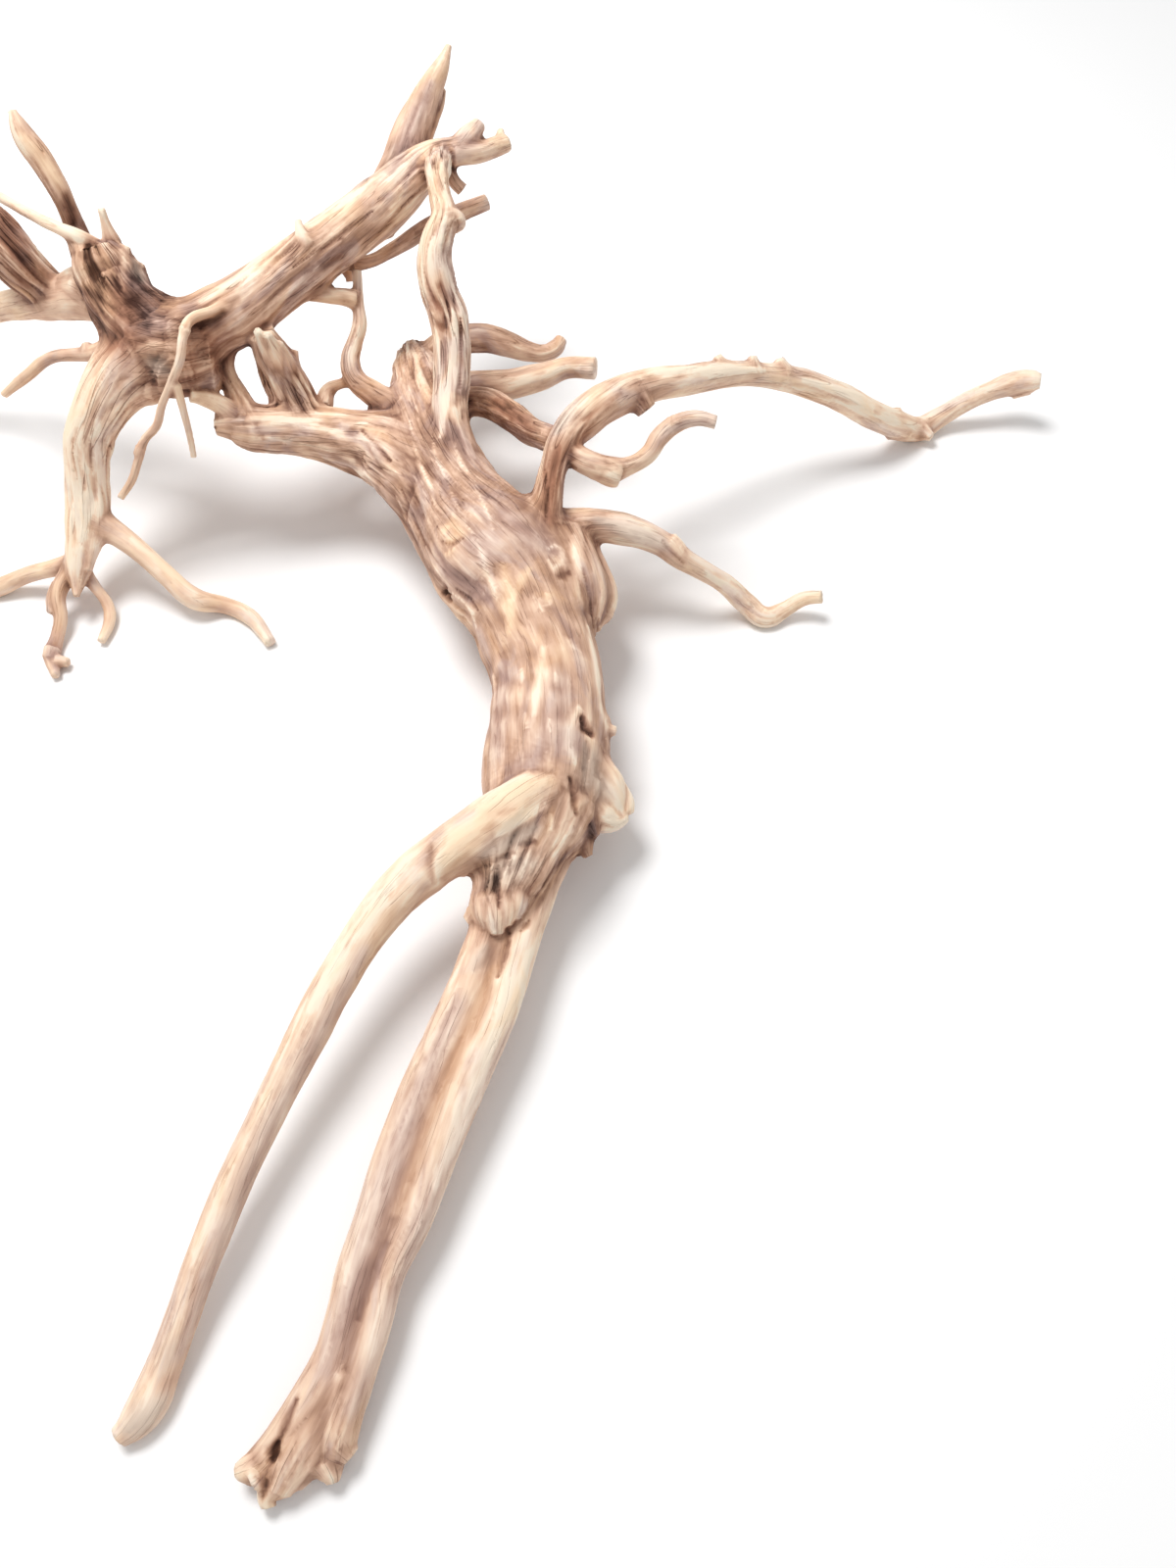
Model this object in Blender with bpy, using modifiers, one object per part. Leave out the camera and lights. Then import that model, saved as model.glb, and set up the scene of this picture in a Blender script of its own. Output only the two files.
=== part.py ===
"""A bleached mangrove root that grew as one piece, lying on a flat surface on its feet and elbows.

Every limb is a smooth curve through a few knots, with a radius at each knot. The limbs are fused into
one skin, hollows and splits are cut out of it, and its feet are ground flat where they stand.
"""

import math

import bmesh
import bpy
from mathutils import Vector

MM = 0.001

# The view that the knots are read in: its size in pixels, and where the eye stands over the surface
VIEW_CENTRE_ACROSS = 600.0
VIEW_CENTRE_DOWN = 800.0
VIEW_FOCAL_LENGTH = 1200.0
EYE_HEIGHT_MM = 546.0
EYE_PITCH = math.radians(58.0)

# The middle of the finished root's box, measured on the surface from the point under the eye
MIDDLE_X_MM = -73.54
MIDDLE_Y_MM = 380.87

# How the limbs become one skin
VOXEL_MM = 1.8
SMOOTHING = 0.5
SMOOTHING_ROUNDS = 2
TRIANGLES = 11400
STEPS_PER_KNOT = 10
RIM_RESOLUTION = 4
WELD_MM = 0.01

# The slab that grinds the feet flat: its top is the surface that the root lies on
SLAB_SIDE_MM = 1200.0
SLAB_DEPTH_MM = 60.0

WOOD_COLOUR = (0.56, 0.40, 0.29, 1.0)
WOOD_ROUGHNESS = 0.72

# A knot is: pixel across, pixel down, height of the limb's middle in mm, radius in mm
TRUNK = {
    "trunk": [
        (424, 364, 52, 12.5), (430, 390, 58, 19.5), (435, 425, 62, 23.4), (447, 470, 64, 25.2),
        (471, 521, 60, 30.2), (504, 571, 55, 36.6), (534, 612, 50, 34.6), (549, 655, 46, 31.6),
        (560, 700, 43, 31), (558, 745, 41, 31.5), (551, 790, 40, 31), (545, 835, 40, 25.5),
        (543, 862, 40, 18.5),
    ],
    "left_fold": [
        (402, 490, 58, 11), (425, 523, 54, 10.4), (443, 561, 48, 9), (461, 595, 42, 7.6),
        (484, 621, 38, 7.2), (503, 656, 36, 6), (512, 686, 36, 5.2),
    ],
    "shoulder": [
        (586, 556, 52, 12), (601, 588, 47, 13), (608, 612, 43, 12.5), (607, 630, 42, 8), (606, 642, 41, 4),
    ],
    "shoulder_fill": [(574, 552, 62, 14), (588, 584, 60, 14.5), (595, 610, 55, 13.5), (597, 634, 50, 9)],
    "shoulder_nub": [(614, 610, 43, 6.5), (626, 614, 42, 3)],
    "shoulder_tip": [(614, 624, 42, 6), (623, 631, 41, 2.8)],
    "base_lobe": [
        (590, 752, 42, 9.5), (599, 780, 38, 11.6), (612, 806, 34, 14), (624, 824, 31, 10), (634, 836, 29, 4),
    ],
    "lobe_edge": [(598, 822, 38, 10), (614, 834, 33, 8.5), (628, 838, 30, 5), (638, 833, 29, 3.4)],
    "lobe_side": [(613, 791, 34, 7.8), (628, 807, 32, 6.8), (638, 820, 30.5, 5.2), (640, 830, 29.5, 3.8)],
    "base_nub": [(602, 738, 46, 7), (617, 745, 45, 4.2), (629, 746, 44, 2.6)],
    "base_heart": [(560, 820, 42, 24.5), (538, 860, 42, 22), (518, 900, 40, 18), (505, 930, 38, 12)],
    "base_shard": [(586, 832, 38, 11), (600, 846, 38, 7), (608, 855, 36, 3)],
    "base_shard_low": [(586, 846, 38, 9), (595, 862, 33, 6), (600, 874, 29, 2.6)],
    "rot_drip_one": [(492, 912, 44, 5.5), (491, 928, 42, 5.5), (491, 940, 40, 3)],
    "rot_drip_two": [(496, 916, 46, 6), (497, 934, 44, 6), (498, 947, 41, 3)],
    "rot_drip_three": [(505, 916, 47, 6), (506, 936, 45, 5.5), (507, 953, 41, 3)],
    "rot_drip_four": [(514, 912, 47, 6), (516, 930, 45, 5.5), (515, 944, 42, 3)],
    "rot_drip_five": [(524, 906, 46, 6), (526, 922, 45, 5.5), (524, 937, 42, 3)],
    "rot_drip_six": [(534, 900, 44, 5.5), (536, 914, 43, 5), (533, 929, 41, 2.6)],
    "rot_rib": [(492, 886, 48, 5.4), (493, 905, 46, 5), (490, 922, 43, 5.2)],
    "rot_knob": [(486, 934, 36, 6), (478, 941, 34, 4)],
}

FRONT_LEGS = {
    "collar": [
        (574, 799, 50, 7), (552, 806, 60, 9.5), (526, 820, 64, 12), (497, 842, 60, 12.8),
        (471, 860, 57, 12.6), (448, 877, 54, 12), (432, 890, 52, 10.6),
    ],
    "collar_lip": [(470, 868, 55, 8.5), (457, 885, 52, 6), (447, 902, 50, 3)],
    "left_leg": [
        (548, 815, 54, 10), (498, 843, 57, 12.8), (458, 868, 54, 12.2),
        (417, 901, 51, 11.8), (375, 950, 46, 10.2), (340, 1006, 41, 9.5), (310, 1063, 36, 9.5),
        (284, 1113, 32, 8.5), (261, 1161, 28, 8), (241, 1203, 25, 8), (218, 1258, 21, 8),
        (201, 1300, 17, 7.5), (181, 1358, 12, 7.2), (165, 1400, 8, 7.7), (153, 1429, 6, 8.4),
        (138, 1451, 5, 7.2), (121, 1467, 4, 4.6),
    ],
    "leg_nub": [(318, 1052, 38, 7), (327, 1065, 36, 3)],
    "leg_web": [
        (520, 965, 27, 9), (490, 1030, 26, 9), (460, 1095, 24.5, 9), (428, 1170, 21.5, 9),
        (400, 1250, 18.5, 8.2), (380, 1300, 16.5, 7), (366, 1345, 14.5, 7), (352, 1388, 13.5, 7.5),
    ],
    "right_leg_outer": [
        (540, 850, 34, 14.5), (520, 905, 32, 13.5), (497, 962, 30, 11), (469, 1030, 28, 11),
        (437, 1100, 26, 10.5), (407, 1172, 23, 10), (379, 1250, 20, 9), (361, 1300, 18, 8),
        (348, 1350, 16, 7.5), (335, 1392, 15, 8), (315, 1430, 14, 8.5), (288, 1468, 11, 7.5),
        (260, 1498, 8, 6), (248, 1509, 8, 4),
    ],
    "right_leg_inner": [
        (574, 850, 34, 9), (551, 905, 32, 9.5), (530, 962, 30, 9.5), (509, 1030, 28, 9.5),
        (482, 1090, 26, 10), (449, 1170, 23, 9.4), (420, 1250, 20, 8.2), (395, 1300, 18, 7.8),
        (382, 1350, 17, 7.5), (367, 1400, 15, 7), (352, 1440, 13, 8), (342, 1470, 10, 8), (338, 1502, 6, 3.5),
    ],
    "foot": [(350, 1400, 14, 8), (325, 1445, 11, 10), (300, 1488, 8.5, 10), (282, 1522, 6.5, 6.5)],
    "foot_heel": [(312, 1478, 9, 8), (308, 1500, 6.5, 6), (299, 1513, 5, 5)],
    "toe_one": [(268, 1492, 9, 6), (252, 1499, 9, 5.4), (243, 1502, 8, 3.6)],
    "toe_two": [(264, 1506, 10, 6.5), (268, 1504, 11, 6)],
    "toe_three": [(279, 1518, 7, 6), (273, 1531, 6, 4.2), (274, 1541, 5, 3)],
    "toe_four": [(330, 1490, 9, 6), (338, 1506, 7, 4.5), (340, 1513, 6, 3)],
    "toe_five": [(345, 1475, 9, 8), (356, 1488, 7, 5)],
}

LEFT_ARM = {
    "left_arm": [
        (452, 505, 60, 25), (418, 478, 62, 23.5), (386, 457, 63, 20.6), (352, 448, 65, 18),
        (310, 441, 70, 14.8), (275, 438, 75, 13.5), (254, 437, 78, 12),
        (240, 436, 80, 9.5), (230, 436, 80, 5),
    ],
    "arm_bump": [(262, 446, 74, 8), (262, 456, 72, 4)],
    "arm_end": [(252, 433, 80, 10), (236, 433, 82, 8.6), (221, 433, 82, 6.4)],
    "arm_stub": [(240, 424, 86, 6), (223, 412, 94, 5.4), (206, 405, 99, 4.8), (194, 403, 102, 4)],
    "strut_left": [
        (254, 436, 78, 11.5), (241, 402, 90, 7), (231, 378, 100, 5.5), (231, 352, 110, 6),
        (232, 335, 118, 6.5),
    ],
    "strut_right": [
        (312, 435, 70, 13.5), (300, 408, 80, 13), (287, 380, 94, 12), (275, 357, 108, 10.5),
        (266, 338, 120, 7.5),
    ],
    "strut_flake": [(306, 395, 86, 4.5), (300, 372, 98, 3.5), (300, 357, 104, 2.5)],
    "strut_fray": [(298, 404, 80, 6), (284, 376, 99, 6), (271, 352, 118, 4.6), (262, 337, 130, 2.2)],
    "strut_fray_middle": [(302, 404, 80, 6), (290, 378, 97, 6), (280, 356, 116, 4.6), (273, 341, 128, 2.2)],
    "strut_fray_far": [(307, 408, 78, 6), (297, 384, 93, 5.5), (290, 364, 109, 4), (285, 350, 119, 2.2)],
    "hook": [
        (364, 276, 122, 3), (365, 292, 116, 3), (366, 312, 109, 3.5), (367, 332, 102, 4.5),
        (362, 350, 95, 5), (357, 368, 89, 6), (362, 386, 82, 6.5), (378, 400, 77, 7.5), (405, 418, 70, 9.5),
    ],
    "hook_stub": [(362, 306, 112, 5.5), (350, 303, 115, 5), (335, 302, 118, 4.5), (316, 301, 120, 3.5)],
    "hook_foot": [(368, 388, 80, 5), (350, 391, 78, 3), (336, 398, 74, 4.5), (330, 415, 70, 6)],
}

FAR_BEAM = {
    "riser": [
        (486, 500, 70, 11), (466, 455, 80, 11), (459, 420, 90, 11), (461, 385, 100, 11),
        (461, 350, 112, 11), (456, 318, 124, 11.5), (447, 290, 136, 10.5), (443, 262, 147, 9.5),
        (447, 242, 154, 9), (453, 222, 160, 7.5), (449, 202, 163, 6.5), (446, 184, 163, 6.5),
        (447, 168, 156, 8), (450, 158, 149, 6),
    ],
    "riser_knot": [(452, 226, 160, 6.5), (464, 226, 158, 6.5), (467, 231, 157, 5)],
    "beam": [
        (150, 352, 116, 24), (190, 342, 119, 20), (235, 320, 124, 17.8), (270, 297, 128, 17.2),
        (305, 273, 132, 16.4), (350, 240, 138, 15.8), (395, 204, 144, 15.6), (428, 174, 148, 13.2),
        (452, 157, 150, 9), (470, 153, 151, 7.5),
    ],
    "beam_stub_up": [(462, 157, 151, 6.5), (478, 141, 154, 7), (489, 127, 157, 4.5)],
    "beam_stub_out": [(462, 158, 151, 6.5), (488, 156, 149, 6), (505, 150, 147, 6), (516, 146, 146, 5.5)],
    "beam_stub_tip": [(510, 146, 147, 3.5), (511, 132, 151, 2)],
    "beam_nub": [(387, 222, 136, 8), (395, 236, 129, 4.5), (398, 243, 126, 2.2)],
    "beam_thorn": [(313, 250, 146, 5), (307, 238, 151, 3), (304, 224, 155, 1.8)],
    "spike": [
        (401, 190, 140, 13), (410, 165, 145, 11.8), (418, 140, 152, 11.4), (429, 112, 160, 9.6),
        (440, 88, 167, 7.6), (451, 66, 173, 4.8), (458, 46, 178, 2),
    ],
    "spike_flank": [
        (420, 175, 142, 7), (430, 145, 148, 6), (440, 122, 154, 5), (449, 105, 158, 3), (452, 92, 161, 2),
    ],
    "under_branch": [
        (335, 260, 122, 7.5), (352, 268, 117, 5.5), (373, 268, 113, 4.2), (400, 255, 110, 4.4),
        (440, 231, 109, 6),
        (475, 215, 110, 5.5), (497, 206, 111, 5),
    ],
    "under_nub": [(350, 268, 118, 4.5), (356, 281, 112, 3), (357, 288, 109, 2.2)],
    "end_stub": [(456, 168, 144, 4.5), (464, 186, 138, 4), (472, 194, 134, 4)],
}

LEFT_CLUSTER = {
    "burl": [(218, 356, 112, 19), (180, 356, 114, 24.5), (148, 347, 116, 21)],
    "burl_low": [(170, 372, 108, 17.5), (200, 382, 104, 11), (224, 386, 103, 7.5)],
    "stump": [
        (155, 345, 120, 21), (128, 312, 129, 20), (112, 282, 139, 19), (103, 264, 147, 17),
        (98, 252, 152, 13),
    ],
    "stump_edge": [(144, 322, 130, 8.5), (140, 296, 137, 8), (137, 276, 142, 6)],
    "stump_jag": [(134, 290, 139, 7), (142, 268, 145, 3.5)],
    "stump_jag_middle": [(122, 275, 146, 7), (126, 252, 152, 4)],
    "stump_jag_left": [(90, 262, 148, 9), (78, 246, 156, 6), (72, 240, 158, 4)],
    "stump_nub": [(115, 248, 153, 5), (108, 229, 162, 3), (103, 212, 170, 2.2)],
    "leaf_spike": [
        (90, 262, 146, 7), (79, 238, 150, 6.2), (69, 213, 162, 5.6), (58, 190, 173, 6.2),
        (42, 163, 184, 6.9), (26, 141, 193, 6.6), (17, 124, 200, 4.4), (12, 112, 204, 2.2),
    ],
    "far_twig": [
        (98, 252, 150, 4.8), (78, 241, 160, 4.2), (60, 233, 161, 3.4), (30, 218, 154, 3), (0, 201, 148, 2.9),
        (-32, 184, 142, 2.7), (-58, 176, 138, 2.4),
    ],
    "dark_limb": [
        (84, 306, 106, 11), (56, 298, 110, 12), (30, 279, 126, 13.5), (4, 252, 142, 15),
        (-20, 221, 152, 12), (-44, 186, 158, 4.5),
    ],
    "low_limb": [
        (140, 316, 118, 13), (92, 304, 118, 13.5), (52, 306, 109, 11.5), (10, 312, 95, 9),
        (-30, 322, 78, 8.5), (-70, 342, 62, 7.5), (-100, 352, 52, 5),
    ],
    "knuckle": [(98, 300, 124, 11), (84, 292, 125, 10.5), (72, 292, 121, 9)],
    "knuckle_top": [(86, 288, 128, 8), (80, 280, 129, 5.5)],
    "side_rootlet": [
        (125, 352, 110, 9), (96, 361, 106, 5), (76, 362, 102, 4), (52, 365, 95, 3.5),
        (29, 382, 82, 3.5), (4, 403, 66, 2.5),
    ],
    "rootlet_nub": [(90, 360, 106, 4.5), (87, 349, 111, 2)],
    "vine": [
        (240, 308, 134, 4), (218, 318, 137, 3.4), (195, 326, 139, 2.9), (187, 342, 138.5, 2.6),
        (184, 365, 131, 2.6), (175, 390, 119, 2.5), (165, 414, 106, 2.3), (160, 434, 95, 2.4),
        (147, 450, 86, 2.4), (141, 470, 76, 2.4), (134, 491, 65, 2.4), (123, 508, 56, 2.1),
    ],
    "vine_twig": [(180, 392, 118, 2.5), (187, 418, 103, 2.2), (193, 442, 88, 2), (198, 467, 74, 1.8)],
    "vine_kink": [(188, 338, 139.5, 3), (190, 334, 141, 2.8)],
    "vine_bump": [(144, 456, 83, 2.9), (141, 464, 79, 2.8)],
}

LEFT_FOOT = {
    "descender": [
        (150, 368, 110, 21), (121, 390, 104, 19), (99, 425, 92, 15), (89, 455, 78, 14),
        (89, 485, 64, 13), (90, 520, 48, 13), (86, 548, 37, 11.2), (82, 566, 31, 9.4),
        (80, 582, 26, 7.4), (79, 596, 22, 4.6), (78, 609, 20, 1.8),
    ],
    "bark_fringe": [(94, 536, 42, 7), (95, 554, 37, 5.5), (92, 572, 31, 3), (90, 582, 28, 2)],
    "toe_right": [
        (96, 530, 44, 9), (117, 543, 38, 7.6), (143, 563, 31, 6.4), (170, 587, 22, 6.2),
        (198, 611, 12, 6.6), (231, 618, 5, 5.2), (256, 630, 4, 5), (268, 644, 4, 4), (276, 656, 4, 3.5),
    ],
    "toe_left": [
        (84, 572, 26, 6.5), (58, 579, 20, 5.5), (30, 586, 13, 5), (0, 599, 6, 5.5),
        (-30, 610, 3.5, 4.5), (-62, 614, 4, 3),
    ],
    "toe_down": [
        (74, 580, 24, 6), (60, 605, 18, 4.5), (62, 632, 10, 4), (58, 652, 5, 4),
        (53, 668, 3.5, 4.5), (57, 690, 4, 2.5),
    ],
    "toe_flake": [(60, 596, 19, 4), (53, 612, 16, 3.4), (51, 626, 13, 2)],
    "toe_lump": [(54, 662, 6, 5), (50, 672, 5, 4)],
    "toe_knob": [(58, 674, 5, 3.5), (70, 676, 5, 2.8)],
    "toe_curl": [
        (84, 582, 22, 4.5), (98, 600, 15, 3.5), (110, 617, 8, 3.5), (112, 632, 5, 3.5), (103, 655, 4, 2.5),
    ],
}

RIGHT_LIMBS = {
    "stub_far": [
        (430, 384, 58, 11), (456, 353, 62, 10), (490, 345, 64, 9), (518, 351, 63, 8), (540, 359, 60, 6.2),
        (556, 360, 59, 5.4), (567, 355, 60, 5.4), (573, 346, 62, 4),
    ],
    "stub_near": [
        (452, 398, 64, 9.5), (490, 394, 66, 9.5), (522, 392, 68, 9), (552, 384, 70, 8),
        (580, 375, 72, 6.4), (608, 376, 74, 6.8),
    ],
    "link": [
        (465, 410, 68, 8.5), (495, 411, 70, 9), (520, 424, 76, 9), (545, 441, 84, 8), (572, 452, 92, 7.5),
    ],
    "right_limb": [
        (550, 545, 68, 13), (558, 510, 80, 9.5), (564, 480, 89, 8), (574, 452, 96, 9),
        (596, 427, 99, 11), (622, 409, 99, 11), (655, 395, 96, 10), (700, 388, 90, 9),
        (740, 382, 83, 8), (780, 383, 74, 7.5), (820, 391, 62, 8.5), (860, 406, 48, 9),
        (890, 423, 33, 9), (915, 433, 18, 9), (938, 437, 6.5, 8), (958, 426, 9, 7),
        (980, 413, 16, 6.5), (1010, 399, 24, 6.5), (1036, 391, 29, 8), (1056, 389, 33, 6.8),
        (1063, 389, 34, 4.8),
    ],
    "right_knot": [(643, 398, 98, 9), (652, 408, 95, 7.6), (660, 419, 91, 6)],
    "limb_nub_near": [(738, 378, 85, 6), (732, 363, 93, 2.4)],
    "limb_nub_middle": [(770, 380, 79, 5.5), (768, 363, 87, 2.4)],
    "limb_nub_far": [(800, 382, 71, 6.5), (795, 366, 79, 3)],
    "elbow_nub_top": [(914, 428, 22, 6), (914, 416, 28, 3)],
    "elbow_nub_near": [(925, 440, 12, 6.5), (905, 444, 13, 3)],
    "elbow_nub_far": [(940, 440, 8, 6), (951, 446, 8, 3)],
    "tip_flap": [(1050, 394, 28, 6), (1032, 401, 22, 4.5)],
    "middle_knee": [(608, 476, 88, 7), (621, 481, 86, 8.2), (630, 485, 84.5, 7.6), (633, 486, 84, 6.4)],
    "middle_bump": [(675, 450, 90, 5), (670, 441, 93, 3.4)],
    "middle_bump_far": [(690, 434, 97, 5), (688, 424, 100, 3)],
    "low_flap": [(680, 554, 50, 7.5), (692, 566, 45, 6.4), (700, 577, 40, 3.6)],
    "right_middle": [
        (578, 458, 93, 6.5), (600, 473, 90, 7.2), (624, 479, 86, 7), (645, 474, 85, 5.2),
        (662, 463, 87, 5.2), (673, 446, 92, 5.5), (689, 433, 97, 5), (712, 427, 100, 4.5), (731, 431, 99, 4),
    ],
    "right_low": [
        (560, 545, 62, 13), (600, 536, 62, 10.2), (640, 541, 58, 9.2), (670, 552, 51, 7.6),
        (693, 568, 43, 7), (714, 580, 35, 6), (740, 596, 23, 6), (762, 617, 10, 6.5),
        (780, 630, 5, 6.5), (800, 622, 7, 5), (820, 611, 13, 4.5), (839, 609, 17, 4),
    ],
}

LIMB_GROUPS = [TRUNK, FRONT_LEGS, LEFT_ARM, FAR_BEAM, LEFT_CLUSTER, LEFT_FOOT, RIGHT_LIMBS]

# Splits, rot and knot holes that are cut out of the skin, given like limbs
HOLLOWS = {
    "base_valley": [(599, 744, 66, 3), (592, 770, 66, 3), (585, 800, 63, 4), (592, 838, 56, 4)],
    "base_knot_hole": [(598, 740, 72, 3.5), (599, 742, 54, 3)],
    "base_slot": [(580, 800, 60, 3.5), (584, 815, 56, 4.5), (590, 830, 54, 3)],
    "side_split": [(438, 594, 54, 2), (452, 603, 51, 3.5), (466, 611, 50, 3), (482, 626, 50, 2)],
    "rot_pocket": [(486, 884, 56, 3.5), (502, 890, 57, 5), (512, 904, 54, 5), (508, 922, 50, 3)],
    "rot_crack": [(556, 860, 62, 1.5), (534, 868, 63, 2.5), (508, 878, 60, 2.5)],
    "arm_crack": [(368, 440, 82, 1.5), (384, 455, 82, 2.5), (400, 470, 82, 1.5)],
    "arm_hollow": [(262, 428, 89, 3), (266, 438, 89, 4), (268, 450, 86, 3)],
    "stump_hollow": [(120, 268, 154, 4), (132, 296, 149, 5), (144, 326, 141, 3.5)],
    "stump_mouth": [(92, 268, 158, 4), (99, 284, 152, 4.5)],
    "beam_pocket": [(198, 342, 139, 2.5), (212, 334, 141, 4), (226, 321, 144, 2.5)],
    "foot_split": [(303, 1428, 24, 1.5), (290, 1456, 21, 2.5), (279, 1480, 16, 4), (275, 1493, 13, 3.5)],
    "foot_notch": [(318, 1530, 12, 3), (326, 1508, 14, 3.5), (330, 1494, 18, 2)],
}


def clear_scene():
    for thing in list(bpy.data.objects):
        bpy.data.objects.remove(thing, do_unlink=True)


def new_collection(name, hidden=False):
    group = bpy.data.collections.new(name)
    group.hide_render = hidden
    bpy.context.scene.collection.children.link(group)
    return group


def place(across, down, height):
    """The point, in metres from under the eye, that shows at a pixel and lies at a height in mm."""
    right = (across - VIEW_CENTRE_ACROSS) / VIEW_FOCAL_LENGTH
    up = (VIEW_CENTRE_DOWN - down) / VIEW_FOCAL_LENGTH
    ahead = math.cos(EYE_PITCH) + up * math.sin(EYE_PITCH)
    fall = math.sin(EYE_PITCH) - up * math.cos(EYE_PITCH)
    reach = (EYE_HEIGHT_MM - height) / fall
    return Vector((reach * right, reach * ahead, height)) * MM


def tube_curve(name, knots):
    """A smooth curve through the knots, as thick at each knot as its radius says."""
    curve = bpy.data.curves.new(name, "CURVE")
    curve.dimensions = "3D"
    curve.resolution_u = STEPS_PER_KNOT
    curve.bevel_depth = MM
    curve.bevel_resolution = RIM_RESOLUTION
    curve.use_fill_caps = True
    spline = curve.splines.new("BEZIER")
    spline.bezier_points.add(len(knots) - 1)
    spline.radius_interpolation = "CARDINAL"
    for point, (across, down, height, radius) in zip(spline.bezier_points, knots):
        point.co = place(across, down, height)
        point.handle_left_type = "AUTO"
        point.handle_right_type = "AUTO"
        point.radius = radius
    return curve


def tube_mesh(name, knots):
    """The curve's tube as a mesh whose end caps are welded to its side."""
    guide = bpy.data.objects.new(name + "_guide", tube_curve(name, knots))
    bpy.context.scene.collection.objects.link(guide)
    graph = bpy.context.evaluated_depsgraph_get()
    mesh = bpy.data.meshes.new_from_object(guide.evaluated_get(graph))
    bpy.data.objects.remove(guide, do_unlink=True)
    shape = bmesh.new()
    shape.from_mesh(mesh)
    bmesh.ops.remove_doubles(shape, verts=shape.verts, dist=WELD_MM * MM)
    bmesh.ops.recalc_face_normals(shape, faces=shape.faces)
    shape.to_mesh(mesh)
    shape.free()
    return mesh


def all_limbs():
    """One mesh that holds every limb's tube, still overlapping where they grow into each other."""
    shape = bmesh.new()
    for group in LIMB_GROUPS:
        for name, knots in group.items():
            mesh = tube_mesh(name, knots)
            shape.from_mesh(mesh)
            bpy.data.meshes.remove(mesh)
    mesh = bpy.data.meshes.new("mangrove_root")
    shape.to_mesh(mesh)
    shape.free()
    return mesh


def island_of(seed, seen):
    """The vertices that join up with the seed, each added to seen."""
    island = []
    waiting = [seed]
    seen.add(seed)
    while waiting:
        vertex = waiting.pop()
        island.append(vertex)
        for edge in vertex.link_edges:
            other = edge.other_vert(vertex)
            if other not in seen:
                seen.add(other)
                waiting.append(other)
    return island


def keep_outer_skin(mesh):
    """Drops the skins of pockets that the fused limbs close in, and any loose scrap."""
    shape = bmesh.new()
    shape.from_mesh(mesh)
    seen = set()
    islands = [island_of(vertex, seen) for vertex in shape.verts if vertex not in seen]
    islands.sort(key=len)
    for island in islands[:-1]:
        bmesh.ops.delete(shape, geom=island, context="VERTS")
    shape.to_mesh(mesh)
    shape.free()


def evaluated_mesh(thing):
    graph = bpy.context.evaluated_depsgraph_get()
    return bpy.data.meshes.new_from_object(thing.evaluated_get(graph))


def wrap(root, name):
    """Draws one even, closed skin round everything in the object."""
    skin = root.modifiers.new(name, "REMESH")
    skin.mode = "VOXEL"
    skin.voxel_size = VOXEL_MM * MM


def fuse(root):
    """Makes the overlapping tubes one body."""
    wrap(root, "fused")
    fused = evaluated_mesh(root)
    root.modifiers.clear()
    keep_outer_skin(fused)
    loose = root.data
    root.data = fused
    bpy.data.meshes.remove(loose)


def cutter(name, mesh, centre, group):
    thing = bpy.data.objects.new(name, mesh)
    thing.parent = centre
    thing.hide_render = True
    thing.display_type = "WIRE"
    group.objects.link(thing)
    return thing


def slab_mesh():
    """A box under the surface that the root lies on."""
    size = Vector((SLAB_SIDE_MM, SLAB_SIDE_MM, SLAB_DEPTH_MM)) * MM
    middle = Vector((MIDDLE_X_MM, MIDDLE_Y_MM, -SLAB_DEPTH_MM / 2)) * MM
    shape = bmesh.new()
    bmesh.ops.create_cube(shape, size=1.0)
    bmesh.ops.scale(shape, vec=size, verts=shape.verts)
    bmesh.ops.translate(shape, vec=middle, verts=shape.verts)
    mesh = bpy.data.meshes.new("slab")
    shape.to_mesh(mesh)
    shape.free()
    return mesh


def triangle_count(thing):
    mesh = evaluated_mesh(thing)
    count = sum(len(face.vertices) - 2 for face in mesh.polygons)
    bpy.data.meshes.remove(mesh)
    return count


def carve(root, hollows):
    """Cuts the hollows, wears the edges round and thins the skin out to the triangles it needs."""
    cut = root.modifiers.new("hollows", "BOOLEAN")
    cut.operation = "DIFFERENCE"
    cut.operand_type = "COLLECTION"
    cut.collection = hollows
    cut.solver = "MANIFOLD"
    wrap(root, "skin")
    worn = root.modifiers.new("worn", "SMOOTH")
    worn.factor = SMOOTHING
    worn.iterations = SMOOTHING_ROUNDS
    whole = triangle_count(root)
    thin = root.modifiers.new("thin", "DECIMATE")
    thin.ratio = TRIANGLES / whole


def stand(root, slab):
    """Grinds the feet and elbows flat where they touch the surface."""
    flat = root.modifiers.new("flat_feet", "BOOLEAN")
    flat.operation = "DIFFERENCE"
    flat.object = slab
    flat.solver = "EXACT"


def wood():
    material = bpy.data.materials.new("bleached_wood")
    material.use_nodes = True
    shader = material.node_tree.nodes["Principled BSDF"]
    shader.inputs["Base Color"].default_value = WOOD_COLOUR
    shader.inputs["Roughness"].default_value = WOOD_ROUGHNESS
    shader.inputs["Metallic"].default_value = 0.0
    return material


def centred_frame(group):
    """The empty that everything hangs on, which brings the root's middle over the origin."""
    centre = bpy.data.objects.new("centre", None)
    centre.location = Vector((-MIDDLE_X_MM, -MIDDLE_Y_MM, 0.0)) * MM
    group.objects.link(centre)
    return centre


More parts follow.
